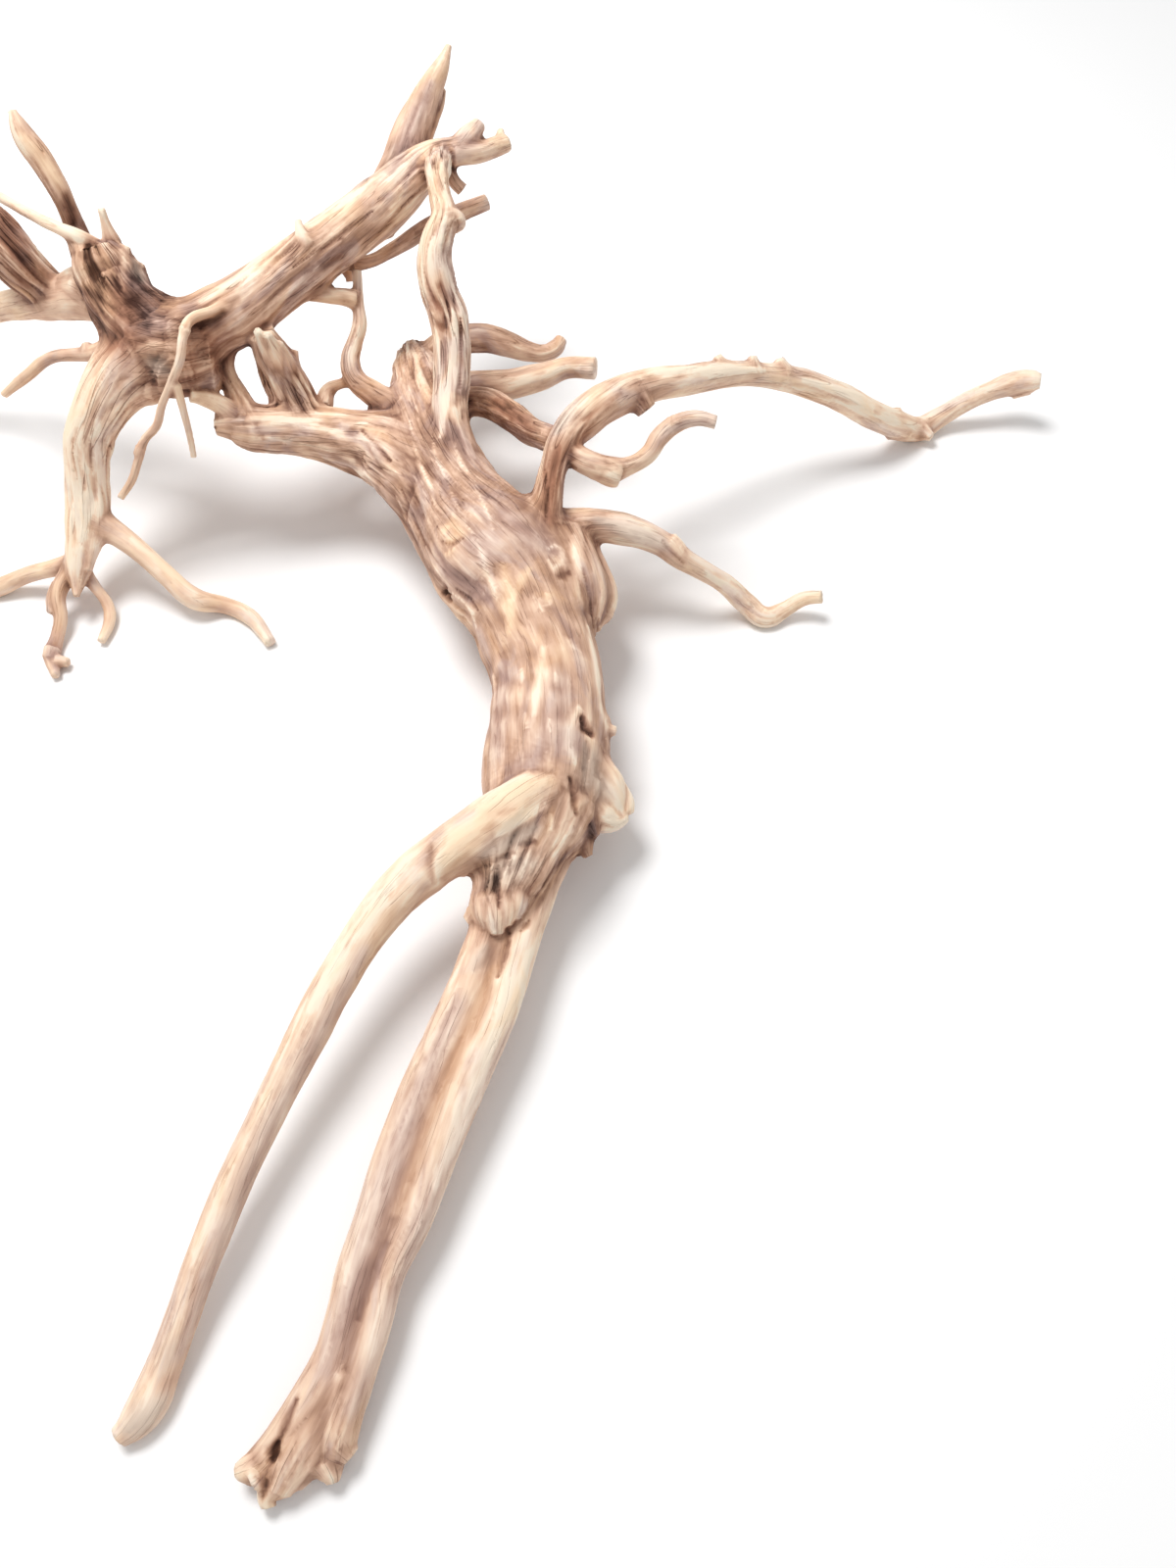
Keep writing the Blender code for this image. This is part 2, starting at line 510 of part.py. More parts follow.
def main():
    clear_scene()
    parts = new_collection("mangrove_root")
    hollows = new_collection("hollows", hidden=True)
    slabs = new_collection("slabs", hidden=True)
    centre = centred_frame(parts)
    root = bpy.data.objects.new("mangrove_root", all_limbs())
    root.parent = centre
    parts.objects.link(root)
    fuse(root)
    for name, knots in HOLLOWS.items():
        cutter(name, tube_mesh(name, knots), centre, hollows)
    carve(root, hollows)
    stand(root, cutter("slab", slab_mesh(), centre, slabs))
    root.data.materials.append(wood())
    root.data.shade_smooth()


main()
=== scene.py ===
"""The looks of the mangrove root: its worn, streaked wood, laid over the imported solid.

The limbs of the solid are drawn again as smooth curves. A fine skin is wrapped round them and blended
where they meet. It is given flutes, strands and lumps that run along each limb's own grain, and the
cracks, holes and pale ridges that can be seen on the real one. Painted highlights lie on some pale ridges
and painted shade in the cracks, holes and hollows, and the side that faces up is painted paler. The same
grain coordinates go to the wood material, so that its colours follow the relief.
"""

import math
import bmesh
import bpy
import numpy as np
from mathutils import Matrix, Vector
from mathutils.bvhtree import BVHTree

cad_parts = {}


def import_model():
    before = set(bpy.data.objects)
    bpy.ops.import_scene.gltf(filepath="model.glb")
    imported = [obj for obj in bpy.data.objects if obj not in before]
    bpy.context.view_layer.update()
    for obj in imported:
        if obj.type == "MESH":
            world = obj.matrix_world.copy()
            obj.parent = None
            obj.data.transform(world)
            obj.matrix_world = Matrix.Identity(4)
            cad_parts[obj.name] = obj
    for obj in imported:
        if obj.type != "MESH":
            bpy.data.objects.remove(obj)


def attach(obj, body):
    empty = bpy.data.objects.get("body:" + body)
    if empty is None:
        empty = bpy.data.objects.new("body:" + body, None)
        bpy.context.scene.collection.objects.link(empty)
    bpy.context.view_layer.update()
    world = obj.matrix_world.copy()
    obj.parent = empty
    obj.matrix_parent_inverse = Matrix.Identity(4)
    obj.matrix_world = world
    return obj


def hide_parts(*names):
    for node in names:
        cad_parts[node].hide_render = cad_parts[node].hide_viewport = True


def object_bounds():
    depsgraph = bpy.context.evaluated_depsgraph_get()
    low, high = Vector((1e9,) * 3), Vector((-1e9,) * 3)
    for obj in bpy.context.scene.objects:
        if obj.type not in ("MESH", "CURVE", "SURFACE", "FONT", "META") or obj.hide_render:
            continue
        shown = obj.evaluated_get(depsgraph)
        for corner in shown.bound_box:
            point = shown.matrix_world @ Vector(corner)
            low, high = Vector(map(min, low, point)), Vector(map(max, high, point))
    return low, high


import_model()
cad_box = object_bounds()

MM = 0.001
TINY = 1e-9
FAR_MM = 1000.0
# How many points are worked on at a time
CHUNK = 20000

# The view that the knots are read in: its middle in pixels, and where the eye stands over the surface
VIEW_CENTRE_ACROSS = 600.0
VIEW_CENTRE_DOWN = 800.0
VIEW_FOCAL_LENGTH = 1200.0
EYE_HEIGHT_MM = 546.0
EYE_PITCH = math.radians(58.0)

# The middle of the finished root's box, measured on the surface from the point under the eye
MIDDLE_X_MM = -73.54
MIDDLE_Y_MM = 380.87
EYE_MM = Vector((-MIDDLE_X_MM, -MIDDLE_Y_MM, EYE_HEIGHT_MM))

# A limb's curve. The tension is the one that Blender uses for the radii between knots.
STEPS_PER_KNOT = 10
FINER_STEPS = 3
RIM_RESOLUTION = 4
TENSION = 0.71
NEARLY_UPRIGHT = 0.1
GRAIN_TWIST = 0.004
GRAIN_SHIFT_MM = 31.0

# How the limbs are wrapped in one skin, and how far its points are looked for and moved
WELD_MM = 0.01
FIRST_VOXEL_MM = 1.8
VOXEL_MM = 1.25
FIRST_ROUNDS = 2
ROUNDS = 3
MOST_STEP_MM = 3.0
REACH_MM = 12.0
STRIDE = 12
NEXT_STEPS = 4
TRIANGLES = 198000
TIP_MM = 12.0

# How the skin is rounded at the limbs' ends and blended where they meet. A crease is filled by the least
# share, and by more where the limbs' sides turn away from each other.
ROUNDING_MM = 1.5
ROUNDING_SHARE = 0.8
SOFTNESS_SHARE = 0.2
SOFTNESS_MM = (1.2, 4.0)
RADIUS_BLEND_MM = 3.0
RADIUS_LIMIT = 10
SKIN_LIMIT = 30
COLOUR_LIMIT = 20
LEAST_WEIGHT = 1e-13
LEAST_ACROSS_MM = 1e-6
LEAST_SIDE_MM = 1e-3
FILL_LEAST = 0.25
FILL_PER_TURN = 3.0
COLOUR_SOFTNESS_SHARE = 0.22
COLOUR_SOFTNESS_MM = (1.0, 4.0)
LEAST_SHARE = 1e-4

# The noise that the relief is made of
NOISE_SEED = 5
NOISE_CELLS = 256
NOISE_SHIFTS = (1.0, 0.37, 0.71)
NOISE_SCALE = 1.6

# The relief's patterns: size in mm across the grain, size along it, and a shift that sets each one apart
WANDER = (16.0, 45.0, 3.0)
FINE = (2.9, 30.0, 23.0)
PATCH = (20.0, 60.0, 47.0)
LUMP = (10.0, 14.0, 31.0)
WANDER_MM = 3.0
LIMB_SHIFT = 17.0
# Flutes are sized by the limb's mean radius
FLUTE_ACROSS = 0.9
FLUTE_ALONG = 5.5
FLUTE_DEPTH = 0.05
FLUTE_LEVEL = 0.3
# Strands are sized by how many go into the mean radius, within limits in mm, and by length over width
STRANDS_PER_RADIUS = 2.2
STRAND_MM = (3.0, 8.0)
STRAND_LENGTH = 9.0
STRAND_SHIFT = 11.0
STRAND_TOP = 0.5
STRAND_LEVEL = 0.55
FINE_LEVEL = 0.5
PATCH_EDGE = 0.35
PATCH_LEAST = 0.4
STRAND_SHARE = 1.5
FINE_SHARE = 0.5
RELIEF_LEVEL = 0.35
FULL_DEPTH_RADIUS_MM = 11.0
DEPTHS = (0.18, 1.35)
# The relief dies away from here to there, in radii, near a limb's own centre line
CALM_MIDDLE = (0.25, 0.7)

# Marks: how far apart the steps along one are, in pixels, and how much of its width its ends keep
MARK_STEP = 3
MARK_END = 0.55
MARK_PAD = 2.5

# Painted light and shade: the skin is painted paler where it faces this way and darker where it faces away,
# as light from above and beyond would fall, and by how much
PAINTED_LIGHT_SIDE = (-0.15, 0.45, 0.85)
PAINTED_LIGHT_SHADE = 0.12
PAINTED_LIGHT_LEVEL = 0.5
# How hollow the skin is, at two scales: rounds of averaging, mm of a full hollow, share. The wood is given
# painted shade where it is hollow and in the creases where limbs meet.
SMALL_HOLLOWS = (6, 0.5, 0.6)
LARGE_HOLLOWS = (30, 2.5, 0.4)
HOLLOW_LIMITS = (-1, 1.5)
CREASE_HOLLOW = 0.5

# The wood along each limb: how stringy it is, how lumpy, how pale, and how streaky its colour is.
# A row of values in place of one runs from the limb's start to its end. Some limbs share a style.
STRINGS, LUMPS, TONE, CONTRAST = range(4)
OTHER_STYLE = (0.6, 0.7, 0.72, 0.8)
STYLES = {
    "trunk": ((1.3, 0.8, 0.4, 0.35), 0.6, (0.66, 0.63, 0.665, 0.67), (1.1, 0.9, 0.5, 0.45)),
    "left_fold": ((1.0, 0.6), 0.8, (0.72, 0.66), 0.9),
    "shoulder": (0.5, 1.0, 0.70, 0.55),
    "shoulder_fill": (0.4, 1.0, 0.70, 0.7),
    "right_knot": (0.3, 0.4, (0.66, 0.60), 0.6),
    # base_lobe is paler than its neighbours, painted light on a lobe that the lamp leaves in shade
    "base_lobe": (0.4, 1.2, (0.84, 0.88, 1.02), 0.35),
    "base_heart": ((1.0, 1.6), 1.2, (0.70, 0.72, 0.66, 0.74), (0.7, 1.0)),
    "rot_drip_one rot_drip_five": (1.2, 2.0, (0.66, 0.88), 0.9),
    "rot_drip_two rot_drip_three rot_drip_four": (1.2, 2.0, (0.66, 0.92), 0.9),
    "rot_drip_six": (1.2, 2.0, (0.66, 0.84), 0.9),
    "lobe_edge": (0.8, 2.0, 0.98, 0.5),
    "lobe_side": (0.5, 1.4, 0.88, 0.4),
    "knuckle knuckle_top": (0.4, 2.2, 0.84, 0.6),
    "arm_stub": (0.6, 1.6, 0.80, 0.6),
    "arm_end": (0.6, 1.8, 0.72, 0.8),
    "strut_fray strut_fray_middle strut_fray_far": (0.6, 0.8, (0.74, 0.84), 0.8),
    "base_shard base_shard_low": (1.2, 1.2, (0.42, 0.30), 0.8),
    "collar": (0.5, 1.8, (0.88, 0.90, 0.86), 0.75),
    "collar_lip": (0.5, 1.2, (0.88, 0.94), 0.5),
    "left_leg": ((0.4, 0.25), 0.5, (0.80, 0.82, 0.78, 0.73, 0.69), (0.6, 0.45)),
    "right_leg_outer": ((0.5, 0.4), 0.4, (0.74, 0.77, 0.76, 0.72), (0.5, 0.45)),
    # right_leg_inner is paler than right_leg_outer: partly its own colour, partly a painted highlight on the
    # strand that faces the light
    "right_leg_inner": ((0.5, 0.4), 0.4, (0.84, 0.90, 0.80, 0.68), 0.45),
    "leg_web": ((0.5, 0.4), 0.4, (0.74, 0.72, 0.74), 0.6),
    "foot": (0.5, 1.2, (0.70, 0.64), 0.6),
    "left_arm": (0.8, 1.2, (0.68, 0.78, 0.74, 0.78), 1.1),
    "strut_right": (2.0, 0.4, 0.74, 1.5),
    "strut_left": (1.4, 0.5, 0.66, 1.1),
    "hook": (0.8, 0.9, (0.80, 0.72, 0.66), 0.9),
    "riser": ((1.5, 1.3, 1.2), 0.5, (0.70, 0.76, 0.78), (1.4, 1.3)),
    "beam": (0.7, 0.9, (0.60, 0.70, 0.72, 0.76), 0.9),
    "spike": (0.4, 0.6, (0.60, 0.62, 0.66), 0.5),
    "spike_flank": (0.8, 0.8, 0.60, 0.8),
    "under_branch": (0.6, 0.8, (0.42, 0.46, 0.56), 0.8),
    "beam_thorn": (0.4, 0.6, (0.58, 0.66), 0.6),
    "under_nub": (0.6, 0.8, 0.42, 0.8),
    "end_stub": (0.6, 0.8, 0.56, 0.9),
    "beam_nub": (0.6, 0.8, 0.40, 0.8),
    "stump": (1.3, 1.6, (0.38, 0.26, 0.34, 0.52), 1.4),
    "stump_edge": (1.3, 1.0, (0.30, 0.52), 1.3),
    "burl": (0.8, 1.3, (0.65, 0.70), 1.0),
    "burl_low": (0.8, 1.3, (0.68, 0.62), 0.9),
    "leaf_spike": (0.4, 0.8, (0.32, 0.36, 0.56, 0.64, 0.60), 0.9),
    "far_twig": (0.3, 0.7, (0.74, 0.82), 0.5),
    "dark_limb": (1.0, 1.0, (0.66, 0.55, 0.44, 0.50), 1.2),
    "low_limb": (0.4, 1.3, (0.78, 0.82, 0.80), 0.6),
    "side_rootlet": (0.4, 0.9, (0.60, 0.66), 0.6),
    "vine": (0.4, 0.8, (0.66, 0.72, 0.66, 0.62), 0.6),
    "vine_twig": (0.4, 0.6, (0.70, 0.78), 0.4),
    "descender": ((0.9, 0.8), 0.8, (0.80, 0.92, 0.98, 1.04, 0.98, 0.62), (1.1, 0.9, 0.7)),
    "bark_fringe": (0.9, 0.8, (0.90, 0.64), 0.8),
    "toe_lump toe_knob": (0.3, 0.9, 0.62, 0.5),
    "toe_right": (0.25, 0.5, (0.72, 0.80, 0.76, 0.84), 0.35),
    "toe_left": (0.3, 0.7, (0.72, 0.80), 0.35),
    "toe_down": (0.3, 0.9, (0.66, 0.66), 0.5),
    "toe_curl": (0.3, 0.7, (0.70, 0.74), 0.4),
    "right_limb": ((0.9, 0.5, 0.5, 0.5), 0.8, (0.56, 0.77, 0.88, 0.82, 0.77), (0.9, 0.65)),
    "right_middle": (0.5, 1.2, (0.66, 0.80, 0.72), 0.7),
    "right_low": (0.6, 0.9, (0.81, 0.83, 0.84), 0.7),
    "stub_far": (0.5, 0.9, (0.72, 0.60), 0.8),
    "stub_near": (0.5, 0.9, (0.70, 0.78), 0.7),
    "link": (0.7, 0.9, (0.64, 0.46, 0.62), 1.0),
}
STYLES = {name: style for names, style in STYLES.items() for name in names.split()}

# The wood's colours, from the darkest recess to the palest worn ridge: where on the scale, and the colour
WOOD_COLOURS = [
    (0.00, (0.050, 0.021, 0.013)),
    (0.14, (0.105, 0.050, 0.035)),
    (0.33, (0.245, 0.122, 0.081)),
    (0.52, (0.430, 0.252, 0.172)),
    (0.71, (0.655, 0.422, 0.302)),
    (0.90, (0.855, 0.635, 0.468)),
    (1.00, (0.900, 0.765, 0.605)),
]

# The same scale for wood that leans to another colour
LEAN_COLOURS = {
    "peach": [(0.0, (0.10, 0.04, 0.02)), (0.55, (0.60, 0.34, 0.20)), (1.0, (0.92, 0.68, 0.46))],
    "grey": [(0.0, (0.05, 0.034, 0.028)), (0.55, (0.43, 0.315, 0.25)), (1.0, (0.85, 0.70, 0.57))],
    "red": [(0.0, (0.06, 0.02, 0.011)), (0.55, (0.40, 0.185, 0.11)), (1.0, (0.86, 0.58, 0.40))],
    "mauve": [(0.0, (0.06, 0.03, 0.026)), (0.55, (0.43, 0.275, 0.23)), (1.0, (0.86, 0.69, 0.58))],
}

# The material's patterns: mm across and along the grain, detail, roughness, distortion
GRAIN_PATTERNS = {
    "Streak": (5.0, 42.0, 3.0, 0.62, 0.35),
    "Patch": (11.0, 34.0, 3.0, 0.6, 0.6),
    "Fibre": (1.1, 22.0, 3.0, 0.65, 0.2),
    "Fissure": (4.2, 58.0, 2.0, 0.45, 0.25),
    "Tint": (17.0, 46.0, 3.0, 0.6, 0.8),
}
FISSURE_WIDTH = 0.022
# What each pattern, and then each field on the skin, adds to the wood's place on the colour scale
PATTERN_SHADES = {"Patch": 0.75, "Fibre": 0.40, "Streak": 0.62}
WORN_SHADE = 0.14
TONE_SHIFT = -0.06
# The shade field: pale and dark wood, painted highlights and painted shade from the marks, and the painted
# light on the side facing up
MARK_SHADE = 0.42
# Painted shade in hollows and in the creases where limbs meet
HOLLOW_PAINTED_SHADE = -0.30
CRACK_SHADE = -0.24
# From none at the first number to all at the second: how far fissures show, by the patch they run in, and
# how far streaks are worn pale. The shade field counts as wear by its share, so pale marks, painted
# highlights and the painted light on the side facing up also make streaks pale.
CRACKED = (0.60, 0.40)
WORN = (0.54, 0.66)
MARK_WEAR = 0.25
# How far the tint leans: from none at the first number to the last one at the second
PEACH_TINT = (0.50, 0.68, 0.0, 0.7)
MAUVE_TINT = (0.50, 0.34, 0.0, 0.8)
# From dark to pale wood: the place on the scale, and the roughness
ROUGHNESS = (0.1, 0.9, 0.85, 0.5)
SHEEN = 0.18
FIBRE_HEIGHT = 0.5
STREAK_HEIGHT = 0.4
CRACK_HEIGHT = -0.8
EVEN_HEIGHT = 0.25
BUMP_STRENGTH = 0.75
BUMP_M = 0.0009

# The stage: a pale floor, an even sky, and one large lamp high up, to the left and a little beyond
FLOOR_HALF_M = 3.0
FLOOR_COLOUR = (0.9, 0.9, 0.9, 1)
FLOOR_ROUGHNESS = 0.9
SKY_STRENGTH = 0.62
LAMP_PLACE_M = (-0.45, 0.45, 1.6)
LAMP_TARGET_M = (0, 0, 0.05)
LAMP_SIZE_M = 0.7
LAMP_WATTS = 23
SENSOR_MM = 36.0
CLIP_START_M = 0.01

# What each kind of mark does: its shade, its lift in mm, and the colour it leans to
MARK_KINDS = {
    # Cream marks are pale worn wood, and in part painted highlights along the lit sides of the beam, the
    # legs, the descender and the trunk's flank
    "cream": (0.55, 0.35, None),
    "peach": (0.25, 0.3, "peach"),
    # Dark marks are darker patches of wood, and in part painted shade in pockets, hollows, under limbs and
    # along shaded edges
    "dark": (-0.55, -0.7, None),
    # Crack and pit marks are cut in and given painted shade
    "crack": (-0.62, -1.2, None),
    "pit": (-0.9, -3.0, None),
    "grey": (0.0, 0.0, "grey"),
    "red": (-0.05, 0.0, "red"),
    "mauve": (-0.1, 0.0, "mauve"),
}

# Marks on the wood by kind, each drawn across the view: half its width in mm, its strength, its course
MARKS = {
    # Pale worn streaks and ridges, some of them painted highlights on sides that face the light
    "cream": [
        (1.6, 1.0, (441, 320), (446, 350), (449, 380)),
        (3.0, 1.0, (464, 320), (464, 350), (460, 380), (456, 405), (451, 430), (449, 445)),
        (1.4, 0.9, (476, 322), (474, 360), (478, 392)),
        (1.5, 0.8, (462, 450), (472, 475), (485, 495), (496, 520), (503, 540)),
        (1.3, 0.8, (440, 440), (444, 465), (456, 490), (466, 515), (478, 540)),
        (1.3, 0.7, (418, 430), (424, 460), (436, 490), (446, 520)),
        (2.0, 0.9, (405, 508), (418, 534), (430, 560), (438, 578)),
        (2.0, 0.8, (480, 540), (490, 560), (500, 590), (506, 610)), (3.0, 0.9, (546, 610), (553, 622)),
        (1.8, 0.8, (557, 606), (561, 616)), (3.2, 0.8, (554, 662), (552, 690), (548, 712), (546, 728)),
        (3.0, 0.7, (503, 690), (506, 720)), (1.6, 0.7, (566, 686), (567, 698)),
        (1.6, 0.6, (536, 728), (537, 742)), (1.5, 0.6, (560, 734), (562, 746)),
        (1.8, 0.6, (531, 684), (533, 694)), (1.5, 0.5, (558, 768), (560, 780)),
        (3.0, 0.7, (578, 652), (588, 662)), (3.4, 0.9, (586, 548), (588, 575), (590, 600), (594, 618)),
        (3.5, 1.0, (600, 640), (606, 670), (611, 700), (614, 725), (619, 742)),
        (1.6, 1.0, (462, 606), (474, 614), (482, 626), (486, 640)),
        (2.0, 1.0, (560, 560), (566, 556), (574, 562), (574, 574), (565, 580), (560, 572)),
        (3.0, 1.0, (590, 722), (582, 742), (582, 762), (587, 780)),
        (4.5, 0.8, (616, 834), (626, 829), (634, 822)), (1.6, 0.7, (562, 832), (563, 848)),
        (3.0, 1.0, (556, 822), (530, 838), (508, 850)), (3.0, 0.6, (490, 826), (500, 824)),
        (3.0, 0.9, (452, 870), (446, 888), (447, 902)), (3.2, 0.6, (400, 905), (352, 960), (316, 1030)),
        (2.2, 0.6, (238, 1190), (215, 1245), (196, 1290)),
        (3.6, 0.6, (540, 975), (510, 1050), (478, 1130), (445, 1210)),
        (1.6, 0.7, (349, 1392), (340, 1430), (332, 1480)), (3.0, 0.7, (263, 1500), (268, 1504)),
        (3.0, 0.8, (300, 432), (340, 440), (372, 432)), (2.5, 0.8, (290, 452), (330, 458), (360, 468)),
        (4.5, 0.9, (205, 308), (240, 285), (280, 255), (320, 228), (360, 198), (392, 178)),
        (4.0, 0.9, (78, 245), (82, 252)), (4.0, 0.7, (98, 243), (106, 250)),
        (2.0, 0.9, (124, 255), (128, 270)), (5.0, 0.8, (72, 288), (84, 282), (92, 292)),
        (4.0, 0.7, (150, 345), (168, 352)), (4.0, 0.9, (88, 505), (84, 530), (82, 548)),
        (3.0, 0.8, (100, 430), (99, 460)), (2.8, 0.6, (135, 550), (165, 575), (200, 605)),
        (3.0, 0.7, (560, 378), (590, 376)), (3.0, 0.8, (690, 380), (740, 374), (780, 378)),
        (2.6, 0.6, (820, 388), (860, 400), (890, 420)), (3.0, 0.7, (610, 478), (628, 484)),
        (2.2, 0.6, (720, 584), (750, 606)),
    ],
    # Darker wood, and painted shade in pockets, hollows, under limbs and along shaded edges
    "dark": [
        (2.4, 0.7, (454, 325), (455, 360), (454, 392)), (5.5, 0.45, (448, 292), (446, 318)),
        (4.0, 0.8, (466, 412), (472, 400), (480, 410)), (5.0, 0.55, (456, 488), (464, 508), (470, 520)),
        (3.5, 0.55, (413, 476), (420, 496), (432, 528)), (5.0, 0.4, (526, 532), (540, 548)),
        (6.0, 0.4, (455, 584), (478, 598), (490, 612)), (3.0, 0.5, (597, 545), (601, 580), (607, 615)),
        (3.5, 1.0, (571, 588), (580, 585)), (2.5, 0.6, (599, 756), (595, 785)),
        (5.0, 0.6, (590, 800), (592, 815)), (4.0, 0.6, (602, 842), (606, 856)),
        (2.6, 0.5, (506, 829), (524, 826)), (3.0, 0.35, (494, 846), (508, 843)),
        (2.0, 0.5, (440, 862), (438, 880), (442, 896)), (2.4, 1.0, (532, 862), (546, 859)),
        (5.0, 0.7, (497, 905), (504, 898)), (4.0, 0.7, (580, 866), (568, 884), (556, 902)),
        (6.0, 0.2, (130, 1458), (152, 1444)), (2.4, 0.25, (470, 1060), (430, 1160), (400, 1245)),
        (2.4, 0.5, (396, 1270), (380, 1310), (366, 1345)), (3.0, 0.7, (262, 434), (268, 446)),
        (3.0, 0.4, (320, 445), (360, 452)), (3.5, 0.5, (250, 315), (300, 285), (350, 248), (395, 215)),
        (5.0, 0.6, (330, 270), (365, 248), (400, 228)), (4.0, 1.0, (206, 334), (218, 327), (227, 319)),
        (5.0, 0.9, (88, 262), (96, 272), (102, 285)), (7.0, 1.0, (138, 286), (142, 308), (149, 328)),
        (4.0, 0.6, (92, 248), (100, 258)), (7.0, 0.8, (5, 225), (15, 245), (25, 262)),
        (5.0, 0.6, (158, 368), (172, 372)), (4.0, 0.5, (130, 340), (125, 350)),
        (3.5, 1.0, (68, 200), (72, 215), (74, 228)), (2.2, 0.5, (12, 118), (16, 136)),
        (2.6, 0.4, (32, 163), (48, 184)), (4.0, 0.5, (90, 486), (98, 500)),
        (2.0, 0.5, (108, 450), (112, 490), (112, 520)), (1.2, 0.6, (92, 450), (94, 480)),
        (2.6, 0.6, (596, 428), (612, 414), (634, 402)), (4.5, 0.6, (504, 412), (522, 416)),
        (2.4, 0.4, (815, 402), (860, 420), (895, 440)), (3.0, 0.6, (655, 408), (662, 420)),
        (1.6, 0.6, (676, 552), (688, 566), (698, 576)),
    ],
    "red": [
        (6.0, 0.9, (448, 282), (446, 305), (450, 332)), (4.0, 0.6, (500, 832), (526, 824)),
        (7.0, 0.8, (205, 335), (215, 350), (220, 375)), (10.0, 0.7, (120, 300), (132, 328)),
        (11.0, 0.5, (205, 350), (225, 345), (242, 338)), (8.0, 0.7, (-10, 200), (10, 260), (25, 285)),
        (9.0, 0.8, (120, 335), (130, 345), (100, 365)), (6.0, 0.7, (190, 355), (200, 385)),
        (3.0, 0.5, (74, 450), (76, 490)), (8.0, 1.0, (560, 530), (562, 500), (566, 475), (574, 455)),
        (6.0, 0.8, (590, 452), (602, 432), (626, 412)), (8.0, 0.8, (505, 408), (525, 428), (540, 440)),
    ],
    # Cracks, cut in and given painted shade
    "crack": [
        (1.5, 0.8, (470, 325), (471, 360), (470, 395)), (1.5, 0.6, (410, 500), (422, 528), (434, 556)),
        (1.5, 0.6, (595, 580), (601, 605), (606, 640)), (1.5, 0.8, (466, 602), (480, 612), (487, 622)),
        (1.5, 0.6, (452, 553), (462, 555), (472, 550)), (2.2, 1.0, (582, 794), (585, 812), (588, 830)),
        (1.5, 0.8, (497, 884), (510, 876), (524, 870)), (1.5, 0.8, (508, 884), (508, 905), (509, 926)),
        (1.5, 0.6, (520, 876), (519, 890)), (1.5, 0.8, (540, 940), (532, 950)),
        (1.8, 1.0, (520, 952), (516, 972), (508, 996)), (2.0, 1.0, (302, 1428), (292, 1452), (283, 1474)),
        (1.6, 1.0, (272, 1512), (268, 1530)), (1.8, 1.0, (370, 440), (384, 454), (398, 470)),
        (1.5, 0.7, (300, 272), (340, 244), (380, 216)), (1.5, 0.5, (556, 480), (558, 505), (557, 530)),
    ],
    "peach": [
        (4.0, 1.0, (514, 578), (519, 600), (521, 625), (519, 645)),
        (3.0, 1.0, (540, 580), (530, 596), (523, 612)),
        (4.5, 1.0, (452, 541), (462, 534), (468, 545), (458, 552)), (2.5, 1.0, (455, 566), (462, 562)),
        (3.0, 1.0, (565, 568), (569, 572)),
        (8.0, 0.8, (562, 796), (535, 806), (505, 822), (480, 838), (462, 862), (455, 878)),
        (4.5, 0.8, (505, 985), (474, 1055), (436, 1150), (404, 1235)), (6.0, 0.8, (108, 300), (114, 320)),
        (3.0, 0.8, (442, 135), (430, 165)), (5.0, 0.8, (24, 140), (40, 158), (55, 182)),
    ],
    # Knot holes and pits, cut in and given painted shade
    "pit": [
        (4.5, 1.0, (454, 602), (458, 610)), (3.2, 1.0, (595, 733), (598, 742), (604, 749)),
        (2.6, 1.0, (281, 1474), (277, 1490)),
    ],
    "grey": [
        (4.5, 0.8, (597, 760), (597, 785), (598, 800)), (10.0, 0.8, (606, 772), (606, 795), (622, 808)),
        (6.0, 0.9, (545, 845), (520, 858), (495, 872)), (9.0, 0.7, (500, 900), (515, 885), (540, 880)),
        (4.0, 0.6, (495, 968), (482, 990)), (7.0, 1.0, (130, 1458), (150, 1444), (160, 1436)),
        (4.0, 0.5, (176, 1370), (165, 1400)), (6.0, 0.5, (136, 1445), (150, 1440)),
        (5.0, 0.9, (138, 268), (144, 285)), (7.0, 0.9, (156, 370), (168, 378)),
        (4.0, 0.5, (402, 150), (396, 175)), (4.5, 1.0, (568, 440), (578, 424), (588, 412)),
        (5.0, 0.8, (610, 530), (650, 545), (680, 556)),
    ],
    "mauve": [
        (4.5, 0.9, (466, 840), (482, 830)), (3.5, 0.7, (440, 858), (452, 850)),
        (6.0, 0.8, (372, 970), (322, 1065), (276, 1150), (240, 1235), (208, 1320), (182, 1385)),
        (8.0, 0.8, (468, 1020), (420, 1130), (375, 1260), (332, 1400)),
        (7.0, 0.7, (520, 1050), (450, 1200), (400, 1330), (358, 1440)),
        (14.0, 0.8, (515, 525), (540, 545), (560, 560)), (9.0, 0.8, (452, 582), (478, 596), (496, 610)),
        (10.0, 0.7, (515, 690), (508, 730), (506, 770)), (10.0, 0.6, (575, 690), (565, 740), (545, 775)),
        (6.0, 0.7, (188, 312), (200, 316)), (6.0, 0.9, (440, 85), (420, 130), (402, 175)),
    ],
}

